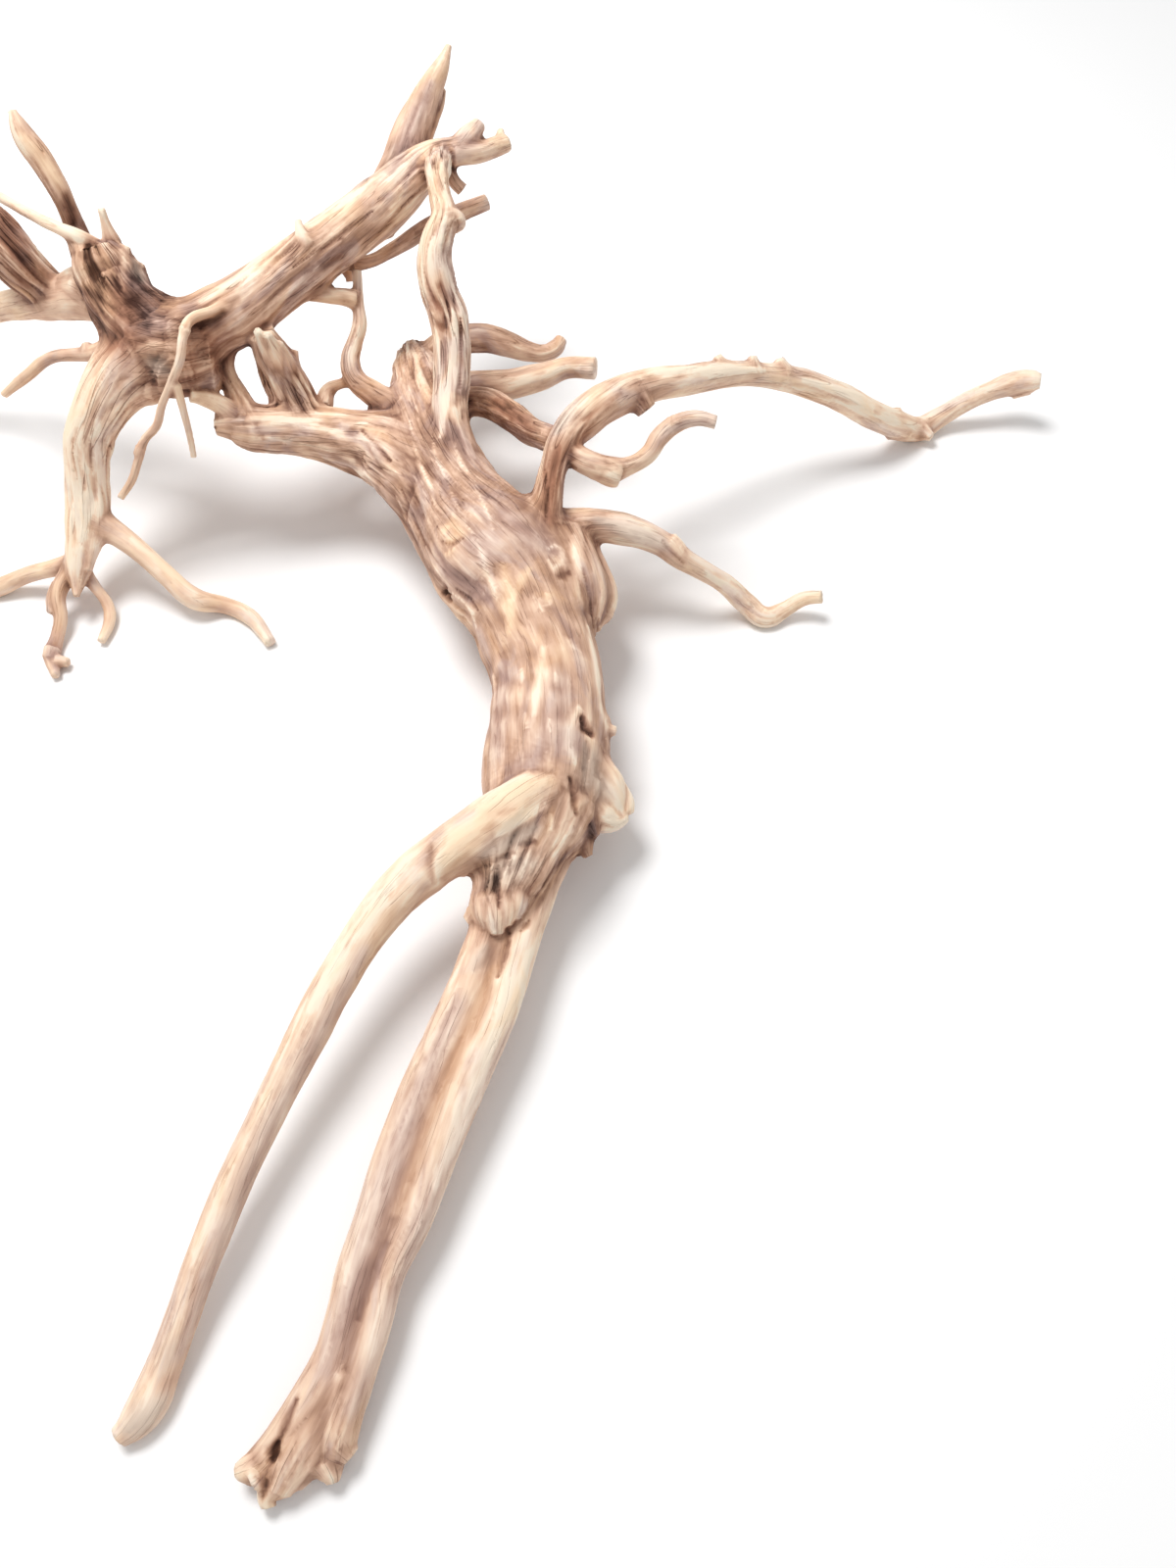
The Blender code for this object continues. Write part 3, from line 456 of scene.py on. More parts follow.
# The limbs. A knot is: pixel across, pixel down, height of the limb's middle in mm, radius in mm.
LIMBS = {
    # trunk and its foot
    "trunk": [
        (424, 364, 52, 12.5), (430, 390, 58, 19.5), (435, 425, 62, 23.4), (447, 470, 64, 25.2),
        (471, 521, 60, 30.2), (504, 571, 55, 36.6), (534, 612, 50, 34.6), (549, 655, 46, 31.6),
        (560, 700, 43, 31), (558, 745, 41, 31.5), (551, 790, 40, 31), (545, 835, 40, 25.5),
        (543, 862, 40, 18.5),
    ],
    "left_fold": [
        (402, 490, 58, 11), (425, 523, 54, 10.4), (443, 561, 48, 9), (461, 595, 42, 7.6),
        (484, 621, 38, 7.2), (503, 656, 36, 6), (512, 686, 36, 5.2),
    ],
    "shoulder": [
        (586, 556, 52, 12), (601, 588, 47, 13), (608, 612, 43, 12.5), (607, 630, 42, 8), (606, 642, 41, 4),
    ],
    "shoulder_fill": [(574, 552, 62, 14), (588, 584, 60, 14.5), (595, 610, 55, 13.5), (597, 634, 50, 9)],
    "shoulder_nub": [(614, 610, 43, 6.5), (626, 614, 42, 3)],
    "shoulder_tip": [(614, 624, 42, 6), (623, 631, 41, 2.8)],
    "base_lobe": [
        (590, 752, 42, 9.5), (599, 780, 38, 11.6), (612, 806, 34, 14), (624, 824, 31, 10),
        (634, 836, 29, 4),
    ],
    "lobe_edge": [(598, 822, 38, 10), (614, 834, 33, 8.5), (628, 838, 30, 5), (638, 833, 29, 3.4)],
    "lobe_side": [(613, 791, 34, 7.8), (628, 807, 32, 6.8), (638, 820, 30.5, 5.2), (640, 830, 29.5, 3.8)],
    "base_nub": [(602, 738, 46, 7), (617, 745, 45, 4.2), (629, 746, 44, 2.6)],
    "base_heart": [(560, 820, 42, 24.5), (538, 860, 42, 22), (518, 900, 40, 18), (505, 930, 38, 12)],
    "base_shard": [(586, 832, 38, 11), (600, 846, 38, 7), (608, 855, 36, 3)],
    "base_shard_low": [(586, 846, 38, 9), (595, 862, 33, 6), (600, 874, 29, 2.6)],
    "rot_drip_one": [(492, 912, 44, 5.5), (491, 928, 42, 5.5), (491, 940, 40, 3)],
    "rot_drip_two": [(496, 916, 46, 6), (497, 934, 44, 6), (498, 947, 41, 3)],
    "rot_drip_three": [(505, 916, 47, 6), (506, 936, 45, 5.5), (507, 953, 41, 3)],
    "rot_drip_four": [(514, 912, 47, 6), (516, 930, 45, 5.5), (515, 944, 42, 3)],
    "rot_drip_five": [(524, 906, 46, 6), (526, 922, 45, 5.5), (524, 937, 42, 3)],
    "rot_drip_six": [(534, 900, 44, 5.5), (536, 914, 43, 5), (533, 929, 41, 2.6)],
    "rot_rib": [(492, 886, 48, 5.4), (493, 905, 46, 5), (490, 922, 43, 5.2)],
    "rot_knob": [(486, 934, 36, 6), (478, 941, 34, 4)],
    # front legs
    "collar": [
        (574, 799, 50, 7), (552, 806, 60, 9.5), (526, 820, 64, 12), (497, 842, 60, 12.8),
        (471, 860, 57, 12.6), (448, 877, 54, 12), (432, 890, 52, 10.6),
    ],
    "collar_lip": [(470, 868, 55, 8.5), (457, 885, 52, 6), (447, 902, 50, 3)],
    "left_leg": [
        (548, 815, 54, 10), (498, 843, 57, 12.8), (458, 868, 54, 12.2), (417, 901, 51, 11.8),
        (375, 950, 46, 10.2), (340, 1006, 41, 9.5), (310, 1063, 36, 9.5), (284, 1113, 32, 8.5),
        (261, 1161, 28, 8), (241, 1203, 25, 8), (218, 1258, 21, 8), (201, 1300, 17, 7.5),
        (181, 1358, 12, 7.2), (165, 1400, 8, 7.7), (153, 1429, 6, 8.4), (138, 1451, 5, 7.2),
        (121, 1467, 4, 4.6),
    ],
    "leg_nub": [(318, 1052, 38, 7), (327, 1065, 36, 3)],
    "leg_web": [
        (520, 965, 27, 9), (490, 1030, 26, 9), (460, 1095, 24.5, 9), (428, 1170, 21.5, 9),
        (400, 1250, 18.5, 8.2), (380, 1300, 16.5, 7), (366, 1345, 14.5, 7), (352, 1388, 13.5, 7.5),
    ],
    "right_leg_outer": [
        (540, 850, 34, 14.5), (520, 905, 32, 13.5), (497, 962, 30, 11), (469, 1030, 28, 11),
        (437, 1100, 26, 10.5), (407, 1172, 23, 10), (379, 1250, 20, 9), (361, 1300, 18, 8),
        (348, 1350, 16, 7.5), (335, 1392, 15, 8), (315, 1430, 14, 8.5), (288, 1468, 11, 7.5),
        (260, 1498, 8, 6), (248, 1509, 8, 4),
    ],
    "right_leg_inner": [
        (574, 850, 34, 9), (551, 905, 32, 9.5), (530, 962, 30, 9.5), (509, 1030, 28, 9.5),
        (482, 1090, 26, 10), (449, 1170, 23, 9.4), (420, 1250, 20, 8.2), (395, 1300, 18, 7.8),
        (382, 1350, 17, 7.5), (367, 1400, 15, 7), (352, 1440, 13, 8), (342, 1470, 10, 8),
        (338, 1502, 6, 3.5),
    ],
    "foot": [(350, 1400, 14, 8), (325, 1445, 11, 10), (300, 1488, 8.5, 10), (282, 1522, 6.5, 6.5)],
    "foot_heel": [(312, 1478, 9, 8), (308, 1500, 6.5, 6), (299, 1513, 5, 5)],
    "toe_one": [(268, 1492, 9, 6), (252, 1499, 9, 5.4), (243, 1502, 8, 3.6)],
    "toe_two": [(264, 1506, 10, 6.5), (268, 1504, 11, 6)],
    "toe_three": [(279, 1518, 7, 6), (273, 1531, 6, 4.2), (274, 1541, 5, 3)],
    "toe_four": [(330, 1490, 9, 6), (338, 1506, 7, 4.5), (340, 1513, 6, 3)],
    "toe_five": [(345, 1475, 9, 8), (356, 1488, 7, 5)],
    # left arm, struts and hook
    "left_arm": [
        (452, 505, 60, 25), (418, 478, 62, 23.5), (386, 457, 63, 20.6), (352, 448, 65, 18),
        (310, 441, 70, 14.8), (275, 438, 75, 13.5), (254, 437, 78, 12), (240, 436, 80, 9.5),
        (230, 436, 80, 5),
    ],
    "arm_bump": [(262, 446, 74, 8), (262, 456, 72, 4)],
    "arm_end": [(252, 433, 80, 10), (236, 433, 82, 8.6), (221, 433, 82, 6.4)],
    "arm_stub": [(240, 424, 86, 6), (223, 412, 94, 5.4), (206, 405, 99, 4.8), (194, 403, 102, 4)],
    "strut_left": [
        (254, 436, 78, 11.5), (241, 402, 90, 7), (231, 378, 100, 5.5), (231, 352, 110, 6),
        (232, 335, 118, 6.5),
    ],
    "strut_right": [
        (312, 435, 70, 13.5), (300, 408, 80, 13), (287, 380, 94, 12), (275, 357, 108, 10.5),
        (266, 338, 120, 7.5),
    ],
    "strut_flake": [(306, 395, 86, 4.5), (300, 372, 98, 3.5), (300, 357, 104, 2.5)],
    "strut_fray": [(298, 404, 80, 6), (284, 376, 99, 6), (271, 352, 118, 4.6), (262, 337, 130, 2.2)],
    "strut_fray_middle": [(302, 404, 80, 6), (290, 378, 97, 6), (280, 356, 116, 4.6), (273, 341, 128, 2.2)],
    "strut_fray_far": [(307, 408, 78, 6), (297, 384, 93, 5.5), (290, 364, 109, 4), (285, 350, 119, 2.2)],
    "hook": [
        (364, 276, 122, 3), (365, 292, 116, 3), (366, 312, 109, 3.5), (367, 332, 102, 4.5),
        (362, 350, 95, 5), (357, 368, 89, 6), (362, 386, 82, 6.5), (378, 400, 77, 7.5), (405, 418, 70, 9.5),
    ],
    "hook_stub": [(362, 306, 112, 5.5), (350, 303, 115, 5), (335, 302, 118, 4.5), (316, 301, 120, 3.5)],
    "hook_foot": [(368, 388, 80, 5), (350, 391, 78, 3), (336, 398, 74, 4.5), (330, 415, 70, 6)],
    # riser and far beam
    "riser": [
        (486, 500, 70, 11), (466, 455, 80, 11), (459, 420, 90, 11), (461, 385, 100, 11),
        (461, 350, 112, 11), (456, 318, 124, 11.5), (447, 290, 136, 10.5), (443, 262, 147, 9.5),
        (447, 242, 154, 9), (453, 222, 160, 7.5), (449, 202, 163, 6.5), (446, 184, 163, 6.5),
        (447, 168, 156, 8), (450, 158, 149, 6),
    ],
    "riser_knot": [(452, 226, 160, 6.5), (464, 226, 158, 6.5), (467, 231, 157, 5)],
    "beam": [
        (150, 352, 116, 24), (190, 342, 119, 20), (235, 320, 124, 17.8), (270, 297, 128, 17.2),
        (305, 273, 132, 16.4), (350, 240, 138, 15.8), (395, 204, 144, 15.6), (428, 174, 148, 13.2),
        (452, 157, 150, 9), (470, 153, 151, 7.5),
    ],
    "beam_stub_up": [(462, 157, 151, 6.5), (478, 141, 154, 7), (489, 127, 157, 4.5)],
    "beam_stub_out": [(462, 158, 151, 6.5), (488, 156, 149, 6), (505, 150, 147, 6), (516, 146, 146, 5.5)],
    "beam_stub_tip": [(510, 146, 147, 3.5), (511, 132, 151, 2)],
    "beam_nub": [(387, 222, 136, 8), (395, 236, 129, 4.5), (398, 243, 126, 2.2)],
    "beam_thorn": [(313, 250, 146, 5), (307, 238, 151, 3), (304, 224, 155, 1.8)],
    "spike": [
        (401, 190, 140, 13), (410, 165, 145, 11.8), (418, 140, 152, 11.4), (429, 112, 160, 9.6),
        (440, 88, 167, 7.6), (451, 66, 173, 4.8), (458, 46, 178, 2),
    ],
    "spike_flank": [
        (420, 175, 142, 7), (430, 145, 148, 6), (440, 122, 154, 5), (449, 105, 158, 3), (452, 92, 161, 2),
    ],
    "under_branch": [
        (335, 260, 122, 7.5), (352, 268, 117, 5.5), (373, 268, 113, 4.2), (400, 255, 110, 4.4),
        (440, 231, 109, 6), (475, 215, 110, 5.5), (497, 206, 111, 5),
    ],
    "under_nub": [(350, 268, 118, 4.5), (356, 281, 112, 3), (357, 288, 109, 2.2)],
    "end_stub": [(456, 168, 144, 4.5), (464, 186, 138, 4), (472, 194, 134, 4)],
    # left cluster
    "burl": [(218, 356, 112, 19), (180, 356, 114, 24.5), (148, 347, 116, 21)],
    "burl_low": [(170, 372, 108, 17.5), (200, 382, 104, 11), (224, 386, 103, 7.5)],
    "stump": [
        (155, 345, 120, 21), (128, 312, 129, 20), (112, 282, 139, 19), (103, 264, 147, 17),
        (98, 252, 152, 13),
    ],
    "stump_edge": [(144, 322, 130, 8.5), (140, 296, 137, 8), (137, 276, 142, 6)],
    "stump_jag": [(134, 290, 139, 7), (142, 268, 145, 3.5)],
    "stump_jag_middle": [(122, 275, 146, 7), (126, 252, 152, 4)],
    "stump_jag_left": [(90, 262, 148, 9), (78, 246, 156, 6), (72, 240, 158, 4)],
    "stump_nub": [(115, 248, 153, 5), (108, 229, 162, 3), (103, 212, 170, 2.2)],
    "leaf_spike": [
        (90, 262, 146, 7), (79, 238, 150, 6.2), (69, 213, 162, 5.6), (58, 190, 173, 6.2),
        (42, 163, 184, 6.9), (26, 141, 193, 6.6), (17, 124, 200, 4.4), (12, 112, 204, 2.2),
    ],
    "far_twig": [
        (98, 252, 150, 4.8), (78, 241, 160, 4.2), (60, 233, 161, 3.4), (30, 218, 154, 3),
        (0, 201, 148, 2.9), (-32, 184, 142, 2.7), (-58, 176, 138, 2.4),
    ],
    "dark_limb": [
        (84, 306, 106, 11), (56, 298, 110, 12), (30, 279, 126, 13.5), (4, 252, 142, 15),
        (-20, 221, 152, 12), (-44, 186, 158, 4.5),
    ],
    "low_limb": [
        (140, 316, 118, 13), (92, 304, 118, 13.5), (52, 306, 109, 11.5), (10, 312, 95, 9),
        (-30, 322, 78, 8.5), (-70, 342, 62, 7.5), (-100, 352, 52, 5),
    ],
    "knuckle": [(98, 300, 124, 11), (84, 292, 125, 10.5), (72, 292, 121, 9)],
    "knuckle_top": [(86, 288, 128, 8), (80, 280, 129, 5.5)],
    "side_rootlet": [
        (125, 352, 110, 9), (96, 361, 106, 5), (76, 362, 102, 4), (52, 365, 95, 3.5), (29, 382, 82, 3.5),
        (4, 403, 66, 2.5),
    ],
    "rootlet_nub": [(90, 360, 106, 4.5), (87, 349, 111, 2)],
    "vine": [
        (240, 308, 134, 4), (218, 318, 137, 3.4), (195, 326, 139, 2.9), (187, 342, 138.5, 2.6),
        (184, 365, 131, 2.6), (175, 390, 119, 2.5), (165, 414, 106, 2.3), (160, 434, 95, 2.4),
        (147, 450, 86, 2.4), (141, 470, 76, 2.4), (134, 491, 65, 2.4), (123, 508, 56, 2.1),
    ],
    "vine_twig": [(180, 392, 118, 2.5), (187, 418, 103, 2.2), (193, 442, 88, 2), (198, 467, 74, 1.8)],
    "vine_kink": [(188, 338, 139.5, 3), (190, 334, 141, 2.8)],
    "vine_bump": [(144, 456, 83, 2.9), (141, 464, 79, 2.8)],
    # descender and its toes
    "descender": [
        (150, 368, 110, 21), (121, 390, 104, 19), (99, 425, 92, 15), (89, 455, 78, 14), (89, 485, 64, 13),
        (90, 520, 48, 13), (86, 548, 37, 11.2), (82, 566, 31, 9.4), (80, 582, 26, 7.4), (79, 596, 22, 4.6),
        (78, 609, 20, 1.8),
    ],
    "bark_fringe": [(94, 536, 42, 7), (95, 554, 37, 5.5), (92, 572, 31, 3), (90, 582, 28, 2)],
    "toe_right": [
        (96, 530, 44, 9), (117, 543, 38, 7.6), (143, 563, 31, 6.4), (170, 587, 22, 6.2),
        (198, 611, 12, 6.6), (231, 618, 5, 5.2), (256, 630, 4, 5), (268, 644, 4, 4), (276, 656, 4, 3.5),
    ],
    "toe_left": [
        (84, 572, 26, 6.5), (58, 579, 20, 5.5), (30, 586, 13, 5), (0, 599, 6, 5.5), (-30, 610, 3.5, 4.5),
        (-62, 614, 4, 3),
    ],
    "toe_down": [
        (74, 580, 24, 6), (60, 605, 18, 4.5), (62, 632, 10, 4), (58, 652, 5, 4), (53, 668, 3.5, 4.5),
        (57, 690, 4, 2.5),
    ],
    "toe_flake": [(60, 596, 19, 4), (53, 612, 16, 3.4), (51, 626, 13, 2)],
    "toe_lump": [(54, 662, 6, 5), (50, 672, 5, 4)],
    "toe_knob": [(58, 674, 5, 3.5), (70, 676, 5, 2.8)],
    "toe_curl": [
        (84, 582, 22, 4.5), (98, 600, 15, 3.5), (110, 617, 8, 3.5), (112, 632, 5, 3.5), (103, 655, 4, 2.5),
    ],
    # right-hand limbs
    "stub_far": [
        (430, 384, 58, 11), (456, 353, 62, 10), (490, 345, 64, 9), (518, 351, 63, 8), (540, 359, 60, 6.2),
        (556, 360, 59, 5.4), (567, 355, 60, 5.4), (573, 346, 62, 4),
    ],
    "stub_near": [
        (452, 398, 64, 9.5), (490, 394, 66, 9.5), (522, 392, 68, 9), (552, 384, 70, 8), (580, 375, 72, 6.4),
        (608, 376, 74, 6.8),
    ],
    "link": [
        (465, 410, 68, 8.5), (495, 411, 70, 9), (520, 424, 76, 9), (545, 441, 84, 8), (572, 452, 92, 7.5),
    ],
    "right_limb": [
        (550, 545, 68, 13), (558, 510, 80, 9.5), (564, 480, 89, 8), (574, 452, 96, 9), (596, 427, 99, 11),
        (622, 409, 99, 11), (655, 395, 96, 10), (700, 388, 90, 9), (740, 382, 83, 8), (780, 383, 74, 7.5),
        (820, 391, 62, 8.5), (860, 406, 48, 9), (890, 423, 33, 9), (915, 433, 18, 9), (938, 437, 6.5, 8),
        (958, 426, 9, 7), (980, 413, 16, 6.5), (1010, 399, 24, 6.5), (1036, 391, 29, 8),
        (1056, 389, 33, 6.8), (1063, 389, 34, 4.8),
    ],
    "right_knot": [(643, 398, 98, 9), (652, 408, 95, 7.6), (660, 419, 91, 6)],
    "limb_nub_near": [(738, 378, 85, 6), (732, 363, 93, 2.4)],
    "limb_nub_middle": [(770, 380, 79, 5.5), (768, 363, 87, 2.4)],
    "limb_nub_far": [(800, 382, 71, 6.5), (795, 366, 79, 3)],
    "elbow_nub_top": [(914, 428, 22, 6), (914, 416, 28, 3)],
    "elbow_nub_near": [(925, 440, 12, 6.5), (905, 444, 13, 3)],
    "elbow_nub_far": [(940, 440, 8, 6), (951, 446, 8, 3)],
    "tip_flap": [(1050, 394, 28, 6), (1032, 401, 22, 4.5)],
    "middle_knee": [(608, 476, 88, 7), (621, 481, 86, 8.2), (630, 485, 84.5, 7.6), (633, 486, 84, 6.4)],
    "middle_bump": [(675, 450, 90, 5), (670, 441, 93, 3.4)],
    "middle_bump_far": [(690, 434, 97, 5), (688, 424, 100, 3)],
    "low_flap": [(680, 554, 50, 7.5), (692, 566, 45, 6.4), (700, 577, 40, 3.6)],
    "right_middle": [
        (578, 458, 93, 6.5), (600, 473, 90, 7.2), (624, 479, 86, 7), (645, 474, 85, 5.2),
        (662, 463, 87, 5.2), (673, 446, 92, 5.5), (689, 433, 97, 5), (712, 427, 100, 4.5),
        (731, 431, 99, 4),
    ],
    "right_low": [
        (560, 545, 62, 13), (600, 536, 62, 10.2), (640, 541, 58, 9.2), (670, 552, 51, 7.6),
        (693, 568, 43, 7), (714, 580, 35, 6), (740, 596, 23, 6), (762, 617, 10, 6.5), (780, 630, 5, 6.5),
        (800, 622, 7, 5), (820, 611, 13, 4.5), (839, 609, 17, 4),
    ],
}


def place(across, down, height):
    """The point, in mm in the solid's frame, that shows at a pixel and lies at a height."""
    right = (across - VIEW_CENTRE_ACROSS) / VIEW_FOCAL_LENGTH
    up = (VIEW_CENTRE_DOWN - down) / VIEW_FOCAL_LENGTH
    ahead = math.cos(EYE_PITCH) + up * math.sin(EYE_PITCH)
    fall = math.sin(EYE_PITCH) - up * math.cos(EYE_PITCH)
    reach = (EYE_HEIGHT_MM - height) / fall
    return Vector((reach * right - MIDDLE_X_MM, reach * ahead - MIDDLE_Y_MM, height))


def put(name, data):
    thing = bpy.data.objects.new(name, data)
    bpy.context.scene.collection.objects.link(thing)
    return thing


def made_mesh(data, kind=None, **settings):
    """The mesh that Blender makes of a curve or a mesh, after one modifier where a kind is given."""
    thing = put("made", data)
    if kind:
        modifier = thing.modifiers.new("made", kind)
        for name, value in settings.items():
            setattr(modifier, name, value)
    graph = bpy.context.evaluated_depsgraph_get()
    mesh = bpy.data.meshes.new_from_object(thing.evaluated_get(graph))
    bpy.data.objects.remove(thing, do_unlink=True)
    return mesh


def curve_mesh(name, knots, bevel):
    curve = bpy.data.curves.new(name, "CURVE")
    curve.dimensions = "3D"
    curve.resolution_u = STEPS_PER_KNOT
    curve.bevel_depth = MM * bevel
    curve.bevel_resolution = RIM_RESOLUTION
    curve.use_fill_caps = True
    spline = curve.splines.new("BEZIER")
    spline.bezier_points.add(len(knots) - 1)
    spline.radius_interpolation = "CARDINAL"
    for point, (across, down, height, radius) in zip(spline.bezier_points, knots):
        point.co = place(across, down, height) * MM
        point.handle_left_type = "AUTO"
        point.handle_right_type = "AUTO"
        point.radius = radius
    mesh = made_mesh(curve)
    bpy.data.curves.remove(curve)
    return mesh


def numbers_of(items, name, each, kind=np.float32):
    """One property of all items in a row, where each item has this many numbers."""
    flat = np.empty(len(items) * each, kind)
    items.foreach_get(name, flat)
    return flat


def points_of(mesh):
    return numbers_of(mesh.vertices, "co", 3).reshape(-1, 3).astype(np.float64)


def faces_of(mesh, sides):
    """The mesh's faces, all with this many sides, as rows of vertex numbers."""
    return numbers_of(mesh.loops, "vertex_index", 1, np.int32).reshape(-1, sides)


def normals_of(mesh):
    return numbers_of(mesh.vertex_normals, "vector", 3).reshape(-1, 3)


def cardinal(values, steps):
    """Radii between the knots, by the same rule as the curve's own."""
    values = np.asarray(values, float)
    out = [values[:1]]
    t = np.arange(1, steps + 1) / steps
    for i in range(len(values) - 1):
        before = values[max(i - 1, 0)]
        after = values[min(i + 2, len(values) - 1)]
        w0 = -TENSION * t ** 3 + 2 * TENSION * t ** 2 - TENSION * t
        w1 = (2 - TENSION) * t ** 3 + (TENSION - 3) * t ** 2 + 1
        w2 = (TENSION - 2) * t ** 3 + (3 - 2 * TENSION) * t ** 2 + TENSION * t
        w3 = TENSION * t ** 3 - TENSION * t ** 2
        out.append(w0 * before + w1 * values[i] + w2 * values[i + 1] + w3 * after)
    return np.concatenate(out)


def unit(vectors):
    return vectors / np.maximum(np.linalg.norm(vectors, axis=-1, keepdims=True), TINY)


def chunks(rows):
    return np.array_split(rows, len(rows) // CHUNK + 1)


class Limb:
    """A limb's centre line in fine steps, with its radius, and two directions across it that never spin."""

    def __init__(self, number, name, knots):
        mesh = curve_mesh(name, knots, 0.0)
        line = points_of(mesh) / MM
        bpy.data.meshes.remove(mesh)
        radii = cardinal([knot[3] for knot in knots], STEPS_PER_KNOT)
        if len(line) != len(radii):
            raise ValueError(f"{name}: {len(line)} points and {len(radii)} radii")
        at = np.linspace(0, len(line) - 1, (len(line) - 1) * FINER_STEPS + 1)
        whole = np.arange(len(line))
        self.number = number
        self.style = STYLES.get(name, OTHER_STYLE)
        self.line = np.stack([np.interp(at, whole, line[:, k]) for k in range(3)], axis=1)
        self.radius = np.interp(at, whole, radii)
        steps = np.linalg.norm(np.diff(self.line, axis=0), axis=1)
        self.along = np.concatenate([[0.0], np.cumsum(steps)])
        self.tangent = unit(np.gradient(self.line, axis=0))
        self.mean_radius = float(np.average(self.radius))
        side = np.cross(self.tangent[0], (0.0, 0.0, 1.0))
        if np.linalg.norm(side) < NEARLY_UPRIGHT:
            side = np.cross(self.tangent[0], (1.0, 0.0, 0.0))
        sides = [side / np.linalg.norm(side)]
        for tangent in self.tangent[1:]:
            side = sides[-1] - tangent * np.dot(sides[-1], tangent)
            sides.append(side / np.linalg.norm(side))
        self.side = np.array(sides)
        self.up = np.cross(self.tangent, self.side)

    def nearest(self, points):
        """The index of the centre line's point nearest to each of the points."""
        coarse = self.line[::STRIDE]
        gap = ((points[:, None, :] - coarse[None, :, :]) ** 2).sum(axis=2)
        return self.nearer(points, gap.argmin(axis=1) * STRIDE, STRIDE)

    def nearer(self, points, at, reach):
        """The same, where it is known to lie within a few steps of an index."""
        tries = at[:, None] + np.arange(-reach, reach + 1)[None, :]
        tries = np.clip(tries, 0, len(self.line) - 1)
        gap = ((points[:, None, :] - self.line[tries]) ** 2).sum(axis=2)
        return tries[np.arange(len(points)), gap.argmin(axis=1)]

    def local(self, points, at):
        """Offsets across the limb, the distance along it, and how far past its end a point lies."""
        offset = points - self.line[at]
        ahead = (offset * self.tangent[at]).sum(axis=1)
        x = (offset * self.side[at]).sum(axis=1)
        y = (offset * self.up[at]).sum(axis=1)
        past = np.where(at == 0, -ahead, np.where(at == len(self.line) - 1, ahead, -FAR_MM))
        return x, y, self.along[at] + ahead, past

    def grain(self, points, at):
        """Coordinates that run with the limb's grain: two round it and one along it, in mm."""
        x, y, along, _ = self.local(points, at)
        angle = np.arctan2(y, x) + along * GRAIN_TWIST
        size = self.mean_radius
        return size * np.cos(angle), size * np.sin(angle), along + GRAIN_SHIFT_MM * self.number

    def styled(self, at, which):
        """One row of the limb's style, read at points along it."""
        row = np.atleast_1d(self.style[which])
        return np.interp(self.along[at] / self.along[-1], np.linspace(0, 1, len(row)), row)


def noise_table(seed):
    """A shuffled order of the cells, written out twice so that a sum of two still finds its place."""
    rng = np.random.default_rng(seed)
    order = rng.permutation(NOISE_CELLS)
    return np.concatenate([order, order]), unit(rng.normal(size=(NOISE_CELLS, 3)))


PERMUTATION, GRADIENTS = noise_table(NOISE_SEED)


def noise(x, y, z, shift):
    """Smooth gradient noise, about -1 to 1, with features one unit apart."""
    places = [value + by * shift for value, by in zip((x, y, z), NOISE_SHIFTS)]
    cells = [np.floor(v).astype(np.int64) for v in places]
    parts = [v - cell for v, cell in zip(places, cells)]
    cells = [cell % NOISE_CELLS for cell in cells]
    fades = [p * p * p * (p * (p * 6.0 - 15.0) + 10.0) for p in parts]
    total = 0.0
    for corner in range(8):
        bits = (corner & 1, corner >> 1 & 1, corner >> 2 & 1)
        at = [cell + bit for cell, bit in zip(cells, bits)]
        pick = GRADIENTS[PERMUTATION[PERMUTATION[PERMUTATION[at[0]] + at[1]] + at[2]]]
        value = sum(pick[:, k] * (parts[k] - bits[k]) for k in range(3))
        for fade, bit in zip(fades, bits):
            value = value * (fade if bit else 1.0 - fade)
        total = total + value
    return total * NOISE_SCALE


def smooth_step(low, high, value):
    t = np.clip((value - low) / (high - low), 0.0, 1.0)
    return t * t * (3.0 - 2.0 * t)


def join_tubes():
    """All limbs in one mesh, as plain tubes that run into each other."""
    shape = bmesh.new()
    for name, knots in LIMBS.items():
        mesh = curve_mesh(name, knots, 1.0)
        shape.from_mesh(mesh)
        bpy.data.meshes.remove(mesh)
    bmesh.ops.remove_doubles(shape, verts=shape.verts, dist=WELD_MM * MM)
    mesh = bpy.data.meshes.new("tubes")
    shape.to_mesh(mesh)
    shape.free()
    return mesh


def wrapped(mesh, voxel):
    """Points in mm and four-sided faces of a skin round the mesh, without the skins of closed-in pockets."""
    skin = made_mesh(mesh, "REMESH", mode="VOXEL", voxel_size=voxel * MM)
    return main_island(points_of(skin) / MM, faces_of(skin, 4))


def main_island(points, faces):
    """Only the largest joined-up piece."""
    label = np.arange(len(points))
    ends = np.concatenate([faces[:, [k, k + 1]] for k in range(faces.shape[1] - 1)])
    while True:
        low = np.minimum(label[ends[:, 0]], label[ends[:, 1]])
        new = label.copy()
        np.minimum.at(new, ends[:, 0], low)
        np.minimum.at(new, ends[:, 1], low)
        new = new[new]
        if (new == label).all():
            break
        label = new
    keep = label == np.bincount(label).argmax()
    renumber = np.cumsum(keep) - 1
    return points[keep], renumber[faces[keep[faces[:, 0]]]]


def mesh_from(name, points, faces):
    """A mesh from points in mm and rows of vertex numbers."""
    sides = faces.shape[1]
    mesh = bpy.data.meshes.new(name)
    mesh.vertices.add(len(points))
    mesh.vertices.foreach_set("co", (points * MM).astype(np.float32).ravel())
    mesh.loops.add(faces.size)
    mesh.loops.foreach_set("vertex_index", faces.astype(np.int32).ravel())
    mesh.polygons.add(len(faces))
    mesh.polygons.foreach_set("loop_start", np.arange(0, faces.size, sides, dtype=np.int32))
    mesh.update(calc_edges=True)
    return mesh


